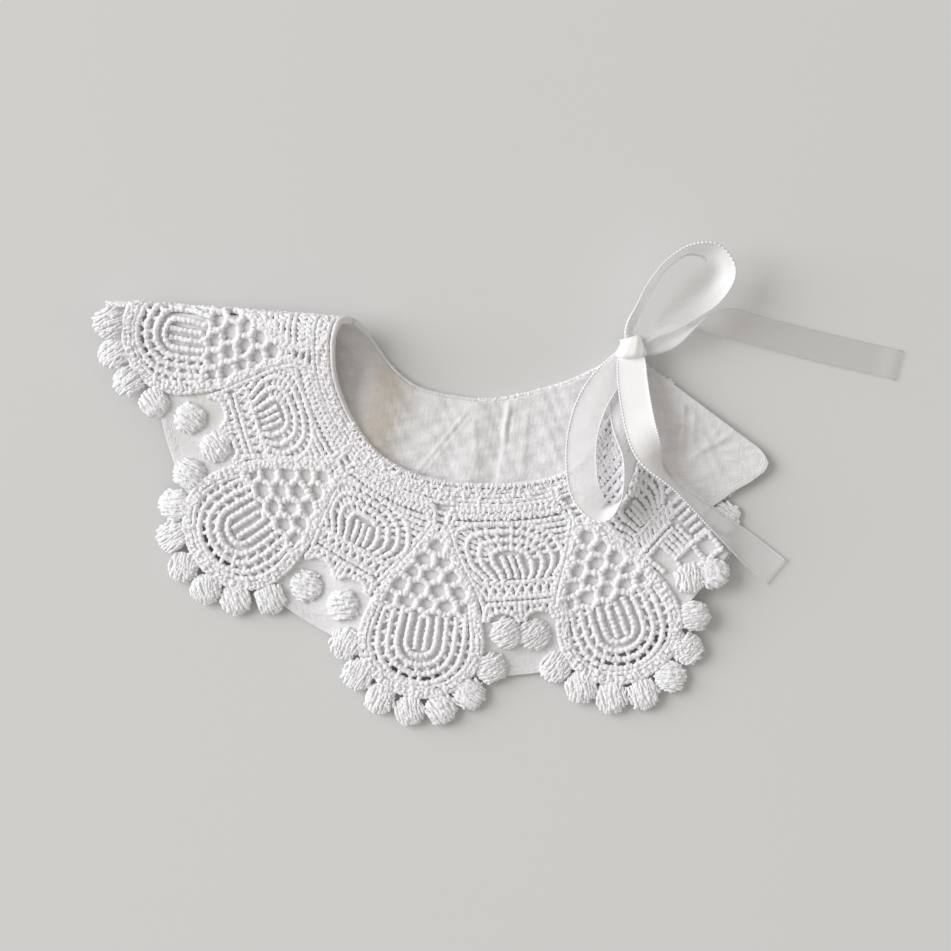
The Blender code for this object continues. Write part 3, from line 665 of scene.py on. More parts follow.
def whip_border(place):
    """Short uneven stitches laid over the border, and a cord outside each of its arms."""
    outer, inner = petal_line(BORDER_INSETS[0] - 0.5), petal_line(BORDER_INSETS[-1] + 0.3)
    for i in range(1, len(outer) - 1):
        lean = RANDOM.integers(-1, 2)
        far = inner[min(max(i + lean, 0), len(inner) - 1)]
        start, end = sorted(RANDOM.uniform(0.0, 1.0, 2))
        start, end = min(start, 0.35), max(end, 0.65)
        ends = outer[i] + (far - outer[i]) * np.array(((start,), (end,)))
        draw(place, ends, LINK * RANDOM.uniform(0.85, 1.15), BORDER_OVER)
    arms = petal_line(-1.1)
    for side in (1, -1):
        on_arm = (arms[:, 0] * side > 0) & (arms[:, 1] < ARM_TO) & (arms[:, 1] > ARM_FROM)
        draw(place, arms[on_arm], BORDER_CORD)


def draw_apex(place):
    """The medallion's tip: its two arms carried up to the neck band, with rungs between them."""
    for side in (1, -1):
        for points, radius in APEX_ARMS:
            draw(place, mirrored(points, side), radius)
    for y, half in APEX_RUNGS:
        draw(place, ((-half, y), (half, y - 0.2)), LINK)


def draw_net(place):
    """The open net over a medallion: six-sided cells, a row more each time."""
    done, shifted = set(), {}
    wide = NET_PITCH / 2
    for depth, across in NET_ROWS:
        for k in range(across):
            x, y = (k - (across - 1) / 2) * NET_PITCH, depth - MEDALLION_DEPTH
            corners = [(x, y - NET_HALF), (x + wide, y - NET_HALF / 2), (x + wide, y + NET_HALF / 2),
                       (x, y + NET_HALF), (x - wide, y + NET_HALF / 2), (x - wide, y - NET_HALF / 2)]
            for a, b in zip(corners, corners[1:] + corners[:1]):
                key = tuple(sorted((tuple(np.round(a, 1)), tuple(np.round(b, 1)))))
                if key not in done:
                    done.add(key)
                    ends = [shifted.setdefault(p, np.array(p) + RANDOM.normal(0, NET_JITTER, 2)) for p in key]
                    draw(place, ends, NET_CORD * RANDOM.uniform(0.88, 1.12), CORD_LIFT, 0.8)


def beside(middle, way=1):
    """A place to draw about a point of the neck edge: x across it, and the depth from it."""
    def place(points):
        return spot(middle + way * points[:, 0] / (1 + points[:, 1] / FAN), points[:, 1])
    return place


def valley_half(depth):
    """Half the room between two medallions."""
    rows = np.vstack((PETAL, ((MEDALLION_RADIUS + MEDALLION_SPREAD, 0.0),)))
    return PITCH / 2 * (1 + depth / FAN) - np.interp(depth - MEDALLION_DEPTH, rows[:, 1], rows[:, 0])


def arch(half, top, turn):
    """Points of a valley's arch at the given turns from its top."""
    return np.column_stack((half * np.sign(turn) * np.abs(np.sin(turn)) ** ARCH_ROUND,
                            ARCH_FOOT - (ARCH_FOOT - top) * np.cos(turn) ** ARCH_POINT))


def lean_by(depth):
    return ARCH_LEAN * np.maximum(ARCH_FOOT + 3.0 - depth, 0.0)


def draw_leaning(place, points, radius=CORD, lift=CORD_LIFT):
    """A line of the arches: it leans to one side near the neck and ends where it meets an arm."""
    line = line_through(points)
    line[:, 0] += lean_by(line[:, 1])
    inside = np.abs(line[:, 0]) < valley_half(line[:, 1]) + 0.2
    for run in np.split(np.arange(len(line)), np.flatnonzero(np.diff(inside.astype(int))) + 1):
        if inside[run[0]] and len(run) > 1:
            draw(place, line[run], radius, lift)


def draw_valley(middle):
    """The nested arches between two medallions, with a net and bars below them."""
    place = beside(middle)

    def across(depth, most=17.0):
        half = min(valley_half(depth) - 0.8, most)
        return ((-half, depth), (0.0, depth - 0.3), (half, depth))

    for depth in VALLEY_CORDS:
        draw(place, across(depth, 18.0))
        for x in np.arange(-VALLEY_REACH, VALLEY_REACH + 0.1, 1.6) + RANDOM.uniform(-0.3, 0.3, VALLEY_STITCHES):
            draw(place, ((x - 0.4, depth - 1.1), (x + 0.4, depth + 1.1)), LINK * 0.8, VALLEY_OVER)
    for half, top in ARCHES:
        foot = half * 0.72
        round_top = arch(half, top, np.radians(np.linspace(-90, 90, 25)))
        draw_leaning(place, np.vstack(([(-foot, ARCH_END)], round_top, [(foot, ARCH_END)])))
    for x in VALLEY_POSTS:
        draw_leaning(place, ((x, 20.8), (x * 0.9, 28.0)), THIN_CORD)
    wide, top = ARCHES[0]
    for depth in VALLEY_RUNGS:
        bend = min((ARCH_FOOT - depth) / (ARCH_FOOT - top), 1.0) ** (1 / ARCH_POINT)
        arch_half = wide * math.sqrt(max(1 - bend * bend, 0.0)) ** ARCH_ROUND
        edge = valley_half(depth) + 0.4
        for side in (1, -1):
            inner = side * (arch_half + 0.3) + lean_by(depth)
            if side * (side * edge - inner) > 1.0:
                draw(place, ((inner, depth), (side * edge, depth + 0.5)), THIN_CORD)
    for depth in VALLEY_BARS:
        draw(place, across(depth), THIN_CORD)
    for lean in (-1.2, 1.2):
        for x in np.arange(-VALLEY_REACH, VALLEY_REACH + 0.1, 2.6):
            draw(place, ((x - lean, 29.6), (x + lean, 34.0)), LINK, CORD_LIFT - 0.1)
    for k, (outer, inner) in enumerate(zip(ARCHES, ARCHES[1:])):
        for turn in np.radians(np.linspace(-84, 84, round(3.4 * outer[0] / 3.0)) + 4 * (k % 2)):
            draw_leaning(place, np.vstack((arch(*outer, turn), arch(*inner, turn))), LINK, LINK_LIFT)
    for depth in VALLEY_FEET:
        edge = valley_half(depth) - 0.6
        for side in (1, -1):
            draw(place, ((side * (wide - (depth - 22.0) * 0.4), depth), (side * edge, depth + 0.8)), LINK)


def draw_posts(middle):
    """The bars that hold the two pompoms of a valley, with an open arch over each."""
    place = beside(middle)
    centre, half, foot, rise = POMPOM_ARCH
    turn = np.radians(np.linspace(-85, 85, 11))
    draw(place, POST)
    for side in (1, -1):
        draw(place, mirrored(SIDE_POST, side))
        draw(place, np.column_stack((side * centre + half * np.sin(turn), foot - rise * np.cos(turn))))
        for x in np.arange(1.4, 10.0, 1.9):
            draw(place, ((side * x, 36.2), (side * x, 38.6 + 0.09 * (x - centre) ** 2)), LINK)


def draw_back_end(place):
    """The lace beside a back edge: short bars to the edge, and two open gaps over the pompoms."""
    for depth in np.arange(10.5, 29.0, 2.4):
        draw(place, ((BACK_EDGE, depth), (3.4 + abs(depth - 22.0) * 0.32, depth - 0.3)), THIN_CORD)
    for depth in np.arange(31.0, 44.0, 2.5):
        draw(place, ((BACK_EDGE, depth), (8.0, depth - 0.4)), THIN_CORD)
    for x in np.arange(10.4, 21.0, 2.5):
        draw(place, ((x, 36.4), (x - 1.0, 43.4)), THIN_CORD)
    draw(place, BACK_BAR)
    for x, low in BACK_POSTS:
        draw(place, ((x, BACK_TOP), (x, low)))
    draw(place, BACK_HEM)


def draw_neck_band():
    def place(points):
        return spot(*points.T)

    for depth in NECK_CORDS:
        draw(place, [(a, depth) for a in np.linspace(NECK_END, NECK_LENGTH - NECK_END, 120)], BAND_CORD)
    for a in np.arange(1.8, NECK_LENGTH - 1.8, 0.95):
        top = RANDOM.uniform(-0.2, 3.4)
        draw(place, ((a, top), (a + RANDOM.uniform(-0.9, 0.9), top + RANDOM.uniform(1.2, 2.6))),
             LINK * RANDOM.uniform(0.75, 1.0), NECK_OVER)


def whip_binding():
    """The lace's own edge stitches, worked over the binding along its straighter parts."""
    for start, end, reach, lifts in BINDING_WHIPS:
        count = round((end - start) / 0.65)
        for a in np.linspace(start, end, count) + RANDOM.uniform(-0.3, 0.3, count):
            near, far = RANDOM.uniform(-1.5, -1.0), RANDOM.uniform(-0.8, reach)
            along = a + np.linspace(0.0, RANDOM.uniform(-1.3, 1.3), len(lifts))
            depth = near + (far - near) * np.array((0.0, 0.25, 0.6, 1.0))
            FLAT_CORDS.append((spot(along, depth), WHIP * RANDOM.uniform(0.85, 1.2), np.array(lifts)))


for medallion in range(REPEATS):
    draw_medallion(medallion)
MEDALLION_CORDS = len(FLAT_CORDS)
for gap in range(-1, REPEATS):
    draw_valley(FIRST_MEDALLION + (gap + 0.5) * PITCH)
for gap in range(REPEATS - 1):
    draw_posts(FIRST_MEDALLION + (gap + 0.5) * PITCH)
draw_back_end(beside(0.0))
draw_back_end(beside(NECK_LENGTH, -1))
draw_neck_band()
whip_binding()

POMPOM_CORE, POMPOM_LIFT, POMPOM_TOPS = 4.85, 0.1, (1.35, 0.7)      # the tops in the upper and lower half
THREAD, THREAD_PITCH, THREADS = 0.62, 0.7644, 13


def pompom_threads(place, aim, low):
    """The parallel threads wound over one pompom, each an arch from edge to edge."""
    aim = aim / np.linalg.norm(aim)
    lean = RANDOM.normal(0.0, 0.35) + 0.5
    turn = np.array(((math.cos(lean), -math.sin(lean)), (math.sin(lean), math.cos(lean))))
    aim = turn @ aim
    side = np.array((-aim[1], aim[0]))
    size = POMPOM_CORE * RANDOM.uniform(0.97, 1.04)
    top = POMPOM_TOPS[low] * RANDOM.uniform(0.9, 1.08)
    reach = np.linspace(-1.0, 1.0, 9)
    for across in (np.arange(THREADS) - THREADS // 2) * THREAD_PITCH + RANDOM.uniform(-0.25, 0.25, THREADS):
        if abs(across) > size - 0.2:
            continue
        half = math.sqrt(size**2 - across**2) + RANDOM.uniform(-0.25, 0.2)
        wiggle = 0.3 * np.sin(reach * 3 + RANDOM.uniform(0, 6))
        flat = place + (reach * half)[:, None] * aim + (across + wiggle)[:, None] * side
        swell = np.sqrt(np.clip(1 - reach**2, 0, 1)) * math.sqrt(1 - (across / (size + 0.3)) ** 2)
        yield flat, top * swell * (-1 if low else 1)


def folded(points, lift, radius):
    """Cord centres in their place; on the table they are pressed flat, never through it."""
    where = cloth(points, SEAM / 2 + lift)
    where[:, 2] = np.maximum(where[:, 2], np.broadcast_to(radius, len(where)) * 1.18)
    return where


medallions, bands, threads = ([Cords() for _ in HALVES] for _ in range(3))
for number, (flat, radius, lift) in enumerate(FLAT_CORDS):
    low = is_lower(flat)
    lift = np.broadcast_to(lift, len(flat))
    ends = np.flatnonzero(np.diff(low.astype(int))) + 1
    for run, high, side in zip(np.split(flat, ends), np.split(lift, ends), np.split(low, ends)):
        if len(run) > 1:
            cords = (medallions if number < MEDALLION_CORDS else bands)[int(side[0])]
            cords.add(folded(run, high, radius if side[0] else 0.0), radius)
POMPOMS_LOW = is_lower(POMPOM_PLACES)
for place, aim, low in zip(POMPOM_PLACES, POMPOM_AIMS, POMPOMS_LOW.astype(int)):
    for flat, swell in pompom_threads(place, aim, low):
        threads[low].add(folded(flat, POMPOM_LIFT + swell, THREAD if low else 0.0), THREAD)
WOUND = {"Stitch depth": 0.12, "Unevenness": 1.25, "Stitch": 0.0014, "Sides": 5,
         "Fuzz": 0.0008, "Fuzz scale": 1500.0}


def pompom_cores(name, low):
    """The soft core under each pompom's threads, all of one half in one mesh."""
    rings, sides = 9, 18
    turn = np.arange(sides) * 2 * math.pi / sides
    verts, faces = [], []
    for place in POMPOM_PLACES[POMPOMS_LOW == low]:
        start = len(verts)
        for i in range(rings):
            tilt = math.pi * (i / (rings - 1) - 0.5)
            reach = max(math.cos(tilt), 0.02) * (POMPOM_CORE - 0.05)
            flat = place + reach * np.column_stack((np.sin(turn), np.cos(turn)))
            half_high = POMPOM_TOPS[low] if low or tilt > 0 else 0.5
            points = cloth(flat, SEAM / 2 + (math.sin(tilt) * half_high + POMPOM_LIFT))
            points[:, 2] = np.maximum(points[:, 2], 0.05 + 0.02 * i)
            verts.extend(points)
        faces += ring_faces(rings, sides, start)
        faces.append([start + j for j in reversed(range(sides))])
        faces.append([start + (rings - 1) * sides + j for j in range(sides)])
    return face_outward(new_piece(name, verts, faces, LACE))


def keep_halves(make, name, finish, solid):
    """Make the upper and the lower half of a piece, and keep both."""
    return [keep(make(name.format(half), low), finish, f"{solid}_{half}") for low, half in enumerate(HALVES)]


LACE_HALVES = [
    keep_halves(lambda name, low: medallions[low].piece(name), "lace_{}_medallions", "lace", "lace"),
    keep_halves(lambda name, low: bands[low].piece(name), "lace_{}_bands", "lace", "lace"),
    keep_halves(lambda name, low: threads[low].piece(name, Step=(0.00055, 0.0008)[low], **WOUND),
                "pompom_threads_{}", "lace", "lace"),
    keep_halves(pompom_cores, "pompom_cores_{}", "lace", "lace"),
]


# ---- The lining: one muslin shell a half, with the creases of handling in it ----
LINING_THIN, LINING_START = 0.45, -0.7
PLEAT_LINE = ((-2.0, -2.6), (0.0, -2.1), (11.0, 0.1), (17.7, 0.2), (25.9, 1.8))      # plan y, x
PLEAT_SINK, PLEAT_RAISE, PLEAT_STEP = 0.5, 0.15, 1.2
PLEAT_MOUNDS = ((0.6, -9.0, 5.0), (0.55, 0.9, 0.6), (-0.5, 2.0, 0.6))      # rise, off the line, half width
LINING_GRID, LINING_ROWS = (1.1, 0.55), (46, 76)      # upper and lower half
SWELL = 2.2                         # how far the lining stands off the lace beside the roll
# plan x where the roll's shade ends and at which y, how the line leans, how far the shade softens
SHADE_EDGE, SHADE_LEVEL, SHADE_SLANT, SHADE_REACH = -25.0, 25.0, 0.29, 16.0
LOWER_LIFT, UPPER_LIFT = -1.0, -0.5      # middle of the cloth off the seam; it rises past the fold
HEM_WIDTH, HEM_THICK, HEM_LINE, HEM_STEP, HEM_CRINKLE = 3.0, 0.3, 2.5, 0.6, 0.25
GROOVE_DEEP, GROOVE_WIDE, STITCH_SUNK, STITCH_RISE = 0.18, 0.45, 0.17, 0.08
STITCH_LONG, STITCH_APART, STITCH_RADIUS, HEM_SPREAD = 1.5, 2.3, 0.15, 2.3
SEWN = {"Sides": 5, "Step": 0.0004, "Fuzz": 0.0, "Unevenness": 0.2, "Stitch depth": 0.0, "Wander": 0.0}
CORNER_DROP = (  # distance off the low back edge, depth added there
    (0.0, 1.2, 3.4, 8.0, 16.0, 26.0, 38.0),
    (-3.2, 0.6, 3.8, 4.6, 3.4, 1.2, 0.0),
)
CREASES = (  # plan x, y of each end, rise, half width; sharp folds pressed in by handling
    (-27.4, 3.6, -12.3, 21.5, 0.5, 0.4),
    (-25.6, 2.9, -10.7, 20.6, 0.25, 0.4),
    (58.5, 25.5, 52.0, 12.0, 0.45, 1.3),
    (53.5, 25.0, 52.6, 10.5, 0.8, 0.7),
    (56.0, 25.5, 55.4, 12.0, 0.6, 0.6),
    (58.6, 24.5, 58.0, 11.0, 0.8, 0.7),
    (62.0, 23.0, 61.4, 13.5, 0.6, 0.7),
    (62.0, 9.0, 75.0, 16.5, 0.9, 0.8),
    (66.0, 13.0, 72.0, 20.0, 0.4, 1.0),
    (30.0, 24.0, 50.0, 17.0, 0.4, 1.6),
    (-36.0, 30.0, -20.0, 12.0, 0.4, 2.2),
    (14.0, 20.0, 22.0, -4.0, 0.35, 2.0),
    (8.0, 22.0, 6.5, 4.0, 0.4, 1.0),
    (-9.0, 20.0, -8.0, 4.0, 0.35, 1.2),
)


def lining_depth(along):
    """Depth of the lining's hem, with the low back corner pulled round and out."""
    middle = np.sin(math.pi * np.clip(along / NECK_LENGTH, 0, 1)) ** 0.5
    from_end = (NECK_LENGTH - along) * (1 + LINING_DEPTH_ENDS / FAN)
    drop = np.interp(from_end, *CORNER_DROP)
    return LINING_DEPTH_ENDS + (LINING_DEPTH_MIDDLE - LINING_DEPTH_ENDS) * middle + drop


def crinkle(places):
    """Small soft waves and pressed creases, by the place on the table."""
    x, y = places[:, 0], places[:, 1]
    rise = (0.16 * np.sin(x * 0.55 + 2.1 * np.sin(y * 0.21)) * np.sin(y * 0.43 + 1.3 * np.sin(x * 0.17))
            + 0.10 * np.sin(x * 1.13 + y * 0.71 + 1.7 * np.sin(x * 0.37))
            + 0.08 * np.sin(y * 1.37 - x * 0.53 + 1.1 * np.sin(y * 0.61)))
    for x0, y0, x1, y1, high, wide in CREASES:
        start, run = np.array((x0, y0)), np.array((x1 - x0, y1 - y0))
        share = (places[:, :2] - start) @ run / (run @ run)
        off = np.abs((places[:, :2] - start) @ np.array((-run[1], run[0]))) / np.linalg.norm(run)
        rise += high * np.exp(-(off / wide) ** 1.4) * ease(share * 5 + 0.8) * ease((1 - share) * 5 + 0.8)
    return rise + pleat(x, y)


def mound(value, middle, wide):
    return np.exp(-((value - middle) / wide) ** 2)


def pleat(x, y):
    """One soft pleat: the cloth sinks towards it on the left and stands up over it on the right."""
    away = x - np.interp(y, *zip(*PLEAT_LINE))
    step = ease(away / PLEAT_STEP + 0.5)
    sunk = -PLEAT_SINK * np.exp(np.minimum(away, 0.0) / 5.0)
    raised = PLEAT_RAISE * np.exp(-np.maximum(away, 0.0) / 6.0)
    swell, ridge, valley = (high * mound(away, middle, wide) for high, middle, wide in PLEAT_MOUNDS)
    tuck = (ridge + valley) * ease((y - 11.0) / 4.0) * ease((25.0 - y) / 3.0)
    fold = sunk * (1 - step) + raised * step + swell + tuck
    return fold * ease((y + 6.0) / 5.0) * ease((30.0 - y) / 3.0)


def lining_middle(flat, low):
    """How far the lining's own middle lies off the seam."""
    if low:
        return np.full(len(flat), LOWER_LIFT)
    along, across = fold_place(flat)
    return LOWER_LIFT + (UPPER_LIFT - LOWER_LIFT) * ease((across + at_station(ROLL_SPARE, along)) / 10.0)


def lining_grid(low):
    """The cut of one half: how far along and how deep each point is, its place, and the quads."""
    fine = np.arange(0.15, 3.2, 0.25)
    rough = np.linspace(3.3, NECK_LENGTH - 3.3, round(NECK_LENGTH / LINING_GRID[low]))
    along = np.concatenate((fine, rough, NECK_LENGTH - fine[::-1]))
    deep = np.concatenate((np.linspace(0.0, 0.925, LINING_ROWS[low])[:-1], np.linspace(0.925, 1.0, 14)))
    along, deep = np.meshgrid(along, deep, indexing="ij")
    rows, cols = along.shape
    flat = spot(along.ravel(), (LINING_START + deep * (lining_depth(along) - LINING_START)).ravel())
    corner = np.arange(rows * cols).reshape(rows, cols)
    quads = np.stack((corner[:-1, :-1], corner[:-1, 1:], corner[1:, 1:], corner[1:, :-1]), axis=-1)
    quads = quads.reshape(-1, 4)
    below = is_lower(flat)[quads].sum(axis=1)
    quads = quads[below >= 1 if low else below <= 3]
    used, quads = np.unique(quads, return_inverse=True)
    return along.ravel()[used], deep.ravel()[used], flat[used], quads.reshape(-1, 4)


def shell_faces(quads, count):
    """The faces of a thin shell: a sheet, the same sheet turned over, and the rim between them."""
    faces, border = [], {}
    for a, b, c, d in quads.tolist():
        faces += [(a, b, c, d), (d + count, c + count, b + count, a + count)]
        border.update(dict.fromkeys(((a, b), (b, c), (c, d), (d, a))))
    return faces + [(b, a, a + count, b + count) for a, b in border if (b, a) not in border]


def lining_piece(name, low):
    """The part of the lining on one side of the fold, as a thin closed shell with folded hems."""
    along, deep, flat, quads = lining_grid(low)
    depth = deep * LINING_DEPTH_MIDDLE
    where = rest(flat)
    toward_roll = SHADE_EDGE - where[:, 0] + SHADE_SLANT * (where[:, 1] - SHADE_LEVEL)
    near_roll = ease(1 - toward_roll / SHADE_REACH)
    wave = crinkle(where) * (0.4 + (0.6 * near_roll if low else 0.0))
    if low:
        wave += SWELL * (1 - near_roll) * ease(depth / 8.0)
    from_edge = np.minimum(np.minimum(along, NECK_LENGTH - along) * (1 + depth / FAN),
                           LINING_DEPTH_MIDDLE - depth)
    press = HEM_CRINKLE + (1 - HEM_CRINKLE) * ease((from_edge - HEM_WIDTH) / 4.0)
    hem = HEM_THICK / 2 * ease((HEM_WIDTH - from_edge) / HEM_STEP + 0.5)
    groove = GROOVE_DEEP * mound(from_edge, HEM_LINE, GROOVE_WIDE)
    middle = lining_middle(flat, low) - wave * press
    half = LINING_THIN / 2 + hem - groove
    verts = np.vstack((cloth(flat, middle + half), cloth(flat, middle - half)))
    verts[:, 2] = np.maximum(verts[:, 2], CLEAR_OF_TABLE)
    piece = new_piece(name, verts, shell_faces(quads, len(flat)), MUSLIN, np.vstack((flat, flat)))
    # painted shade: the roll's shadow painted as a band beside the roll, on the lower half only, lighter again
    # at the roll itself
    painted_roll_shade = ease(toward_roll / 13.0) * (1 - 0.75 * ease((toward_roll - 14.0) / 8.0)) * low
    set_values(piece.data, "painted roll shade", np.tile(painted_roll_shade, 2))
    corners = flat[quads]
    across, down = corners[:, 2] - corners[:, 0], corners[:, 3] - corners[:, 1]
    area = 0.5 * np.abs(across[:, 0] * down[:, 1] - across[:, 1] * down[:, 0]).sum()
    return face_outward(piece), area, flat


def hem_stitches(name, low):
    """The sewing that holds the lining's hems, a short stitch at a time, on its open face."""
    flats = []
    for edge, side in ((0.0, 1), (NECK_LENGTH, -1)):
        for a in np.arange(2.0, LINING_DEPTH_ENDS - 3.0, STITCH_APART):
            depth = np.array((a, a + STITCH_LONG))
            flats.append(spot(edge + side * HEM_LINE / (1 + depth / FAN), depth))
    for a in np.arange(1.5, NECK_LENGTH - 1.5, STITCH_APART / HEM_SPREAD):
        along = np.array((a, a + STITCH_LONG / HEM_SPREAD))
        flats.append(spot(along, lining_depth(along) - HEM_LINE))
    sewing = Cords()
    off_middle = (LINING_THIN + HEM_THICK) / 2 - STITCH_SUNK + STITCH_RISE * np.array((0, 1, 1, 0))
    for flat in flats:
        if (is_lower(flat) == low).all():
            ends = np.linspace(flat[0], flat[1], 4)
            sewing.add(cloth(ends, lining_middle(ends, low) + (-1 if low else 1) * off_middle), STITCH_RADIUS)
    return sewing.piece(name, **SEWN)


LININGS = [lining_piece(f"muslin_{half}", low) for low, half in enumerate(HALVES)]
for half, (piece, _, _) in zip(HALVES, LININGS):
    keep(piece, "lining", f"lining_{half}")
SEWING = keep_halves(hem_stitches, "hem_stitches_{}", "lining", "lining")


# ---- The binding and the satin ribbon --------------------------------------
BINDING_PARTS = ((0.2, FOLD_NECK - SEAM / 2), (FOLD_NECK + SEAM / 2, NECK_LENGTH - 0.2))
BINDING_STEP = 0.9


def binding(name, low):
    """A rolled strip over the neck edge, with a little pucker."""
    start, end = BINDING_PARTS[low]
    sides = 12
    along = np.linspace(start, end, round((end - start) / BINDING_STEP) + 1)
    thick = (LACE_WALL + LINING_WALL + SEAM) / 2
    middle = (LACE_WALL - LINING_WALL) / 2
    pucker = 1 + 0.05 * np.sin(along * 2.6) + 0.04 * np.sin(along * 1.1 + 2)
    verts, flats = [], []
    for j in range(sides):
        turn = 2 * math.pi * (j + 0.5) / sides
        depth = -BINDING_WIDTH / 2 - SEAM / 2 + (BINDING_WIDTH / 2 + 0.1) * math.cos(turn) * pucker
        verts.append(cloth(spot(along, depth), middle + thick * math.sin(turn) * pucker))
        flats.append(np.column_stack((along, np.full(len(along), j * 0.6))))
    count = len(along)
    faces = [tuple(j * count for j in range(sides))]
    for i in range(count - 1):
        for j in range(sides):
            a, b = j * count + i, ((j + 1) % sides) * count + i
            faces.append((a, a + 1, b + 1, b))
    faces.append(tuple(j * count + count - 1 for j in reversed(range(sides))))
    verts = np.vstack(verts)
    verts[:, 2] = np.maximum(verts[:, 2], RIBBON_CLEAR)
    return face_outward(new_piece(name, verts, faces, MUSLIN, np.vstack(flats)))


KNOT_HEIGHT = 7.2
KNOT_RINGS = (  # y, half width, half height, middle x
    (40.2, 3.2, 1.4, 41.3), (40.3, 4.1, 2.3, 41.3), (40.8, 4.7, 2.9, 41.3), (41.6, 4.75, 3.05, 41.4),
    (42.6, 4.5, 3.05, 41.5), (43.8, 4.0, 2.95, 41.6), (45.0, 3.4, 2.75, 41.8), (46.0, 2.85, 2.45, 41.9),
    (46.8, 2.3, 2.0, 42.0), (47.2, 1.7, 1.4, 42.0), (47.3, 0.9, 0.7, 42.0),
)
UPPER_LOOP = (  # x, y, z, turn, width, cover of the weave
    (41.7, 44.9, 7.4, 0.0, 4.0, 0.8),
    (41.3, 48.6, 8.6, -40.0, 5.0, 0.76),
    (43.4, 54.6, 10.4, -68.0, 8.0, 0.7),
    (47.2, 62.6, 12.4, -74.0, 9.5, 0.64),
    (52.6, 69.8, 13.4, -78.0, 10.0, 0.64),
    (60.2, 74.2, 13.9, -76.0, 10.0, 0.72),
    (67.2, 73.0, 13.4, -56.0, 10.0, 0.92),
    (69.8, 67.6, 12.4, -30.0, 10.0, 0.97),
    (66.6, 61.6, 10.8, -18.0, 10.0, 0.68),
    (60.2, 57.2, 9.2, -8.0, 10.0, 0.42),
    (53.2, 52.6, 8.0, -4.0, 9.0, 0.4),
    (47.2, 48.2, 6.9, 0.0, 6.0, 0.55),
    (43.4, 45.0, 6.4, 0.0, 4.5, 0.7),
)
LOWER_LOOP = (
    (40.4, 42.8, 6.6, 0.0, 4.5, 0.9),
    (38.0, 39.4, 7.1, 0.0, 6.5, 0.88),
    (34.2, 34.2, 8.0, 0.0, 9.0, 0.8),
    (29.2, 26.4, 8.9, 0.0, 10.0, 0.72),
    (26.0, 17.0, 9.7, 0.0, 10.0, 0.7),
    (25.2, 6.6, 10.4, 2.0, 10.0, 0.72),
    (27.0, -3.6, 11.4, 14.0, 10.0, 0.85),
    (31.8, -9.4, 12.0, 52.0, 10.0, 0.97),
    (37.0, -6.4, 12.2, 88.0, 10.0, 0.97),
    (39.8, 1.6, 12.0, 106.0, 10.0, 0.92),
    (40.6, 9.0, 11.4, 124.0, 10.0, 0.86),
    (40.2, 15.6, 10.2, 156.0, 10.0, 0.8),
    (39.0, 22.6, 8.1, 187.0, 9.0, 0.74),
    (38.6, 30.6, 6.3, 186.0, 8.0, 0.7),
    (40.2, 39.9, 5.6, 180.0, 6.0, 0.7),
    (41.2, 42.8, 5.8, 180.0, 4.5, 0.7),
)
SHORT_TAIL = (
    (41.3, 43.4, 6.6, 0.0, 7.0, 1.0),
    (41.3, 39.9, 8.2, 0.0, 9.0, 1.0),
    (41.6, 33.0, 9.9, 0.0, 9.8, 1.0),
    (42.6, 25.0, 11.8, 0.0, 10.0, 1.0),
    (44.2, 17.0, 12.8, -4.0, 10.0, 1.0),
    (46.8, 9.6, 12.6, 26.0, 10.0, 1.0),
    (50.2, 4.0, 11.4, 64.0, 9.5, 0.95),
    (55.2, -0.8, 10.0, 72.0, 9.5, 0.86),
    (61.0, -5.8, 8.6, 64.0, 9.5, 0.8),
    (67.0, -10.8, 7.0, 52.0, 10.0, 0.74),
    (73.4, -16.0, 4.8, 38.0, 10.0, 0.68),
    (80.6, -22.0, 2.4, 18.0, 10.0, 0.6),
    (88.6, -28.6, 0.9, 0.0, 10.0, 0.5),
)
LONG_TAIL = (
    (43.4, 43.8, 6.4, 0.0, 5.0, 0.8),
    (47.4, 44.2, 5.8, 0.0, 6.5, 0.7),
    (51.4, 46.2, 5.4, 14.0, 8.5, 0.5),
    (56.2, 48.4, 5.2, 44.0, 9.0, 0.5),
    (61.4, 50.4, 5.0, 84.0, 9.0, 0.6),
    (66.6, 51.6, 4.6, 124.0, 9.5, 0.5),
    (72.6, 51.6, 3.6, 158.0, 10.0, 0.34),
    (80.0, 49.8, 2.2, 176.0, 10.0, 0.26),
    (90.0, 47.2, 1.0, 180.0, 10.0, 0.24),
    (104.0, 43.7, 0.6, 180.0, 10.0, 0.24),
    (118.0, 40.4, 0.6, 180.0, 10.0, 0.24),
    (126.4, 38.5, 0.6, 180.0, 10.0, 0.26),
    (127.4, 38.25, 0.6, 180.0, 10.0, 0.36),
    (128.4, 38.0, 0.6, 180.0, 10.0, 0.4),
)
UPPER_TIE = (
    (37.9, 24.8, 5.2, 0.0, 6.0, 0.9),
    (38.7, 29.0, 5.0, 0.0, 6.0, 0.9),
    (39.8, 34.0, 4.6, 0.0, 6.0, 0.9),
    (40.9, 39.9, 4.2, 0.0, 6.0, 0.9),
    (41.4, 42.5, 4.4, 0.0, 6.0, 0.9),
)
LOWER_TIE = (
    (42.4, 41.2, 3.5, 0.0, 7.0, 0.9),
    (41.9, 43.9, 3.5, 0.0, 7.0, 0.9),
    (41.3, 47.0, 3.5, 0.0, 7.0, 0.9),
)
RIBBON_WIDTH, RIBBON_THIN, RIBBON_STEP, RIBBON_CLEAR = 10.0, 0.26, 1.2, 0.02
SELVEDGE_COVER, SELVEDGE_THICKER, SELVEDGE_FROM, GATHER_DEEP = 0.3, 1.7, 0.9, 0.45
RIBBON_COLUMNS = (-1.0, -0.93, -0.86, -0.6, -0.3, 0.0, 0.3, 0.6, 0.86, 0.93, 1.0)      # share of the half width


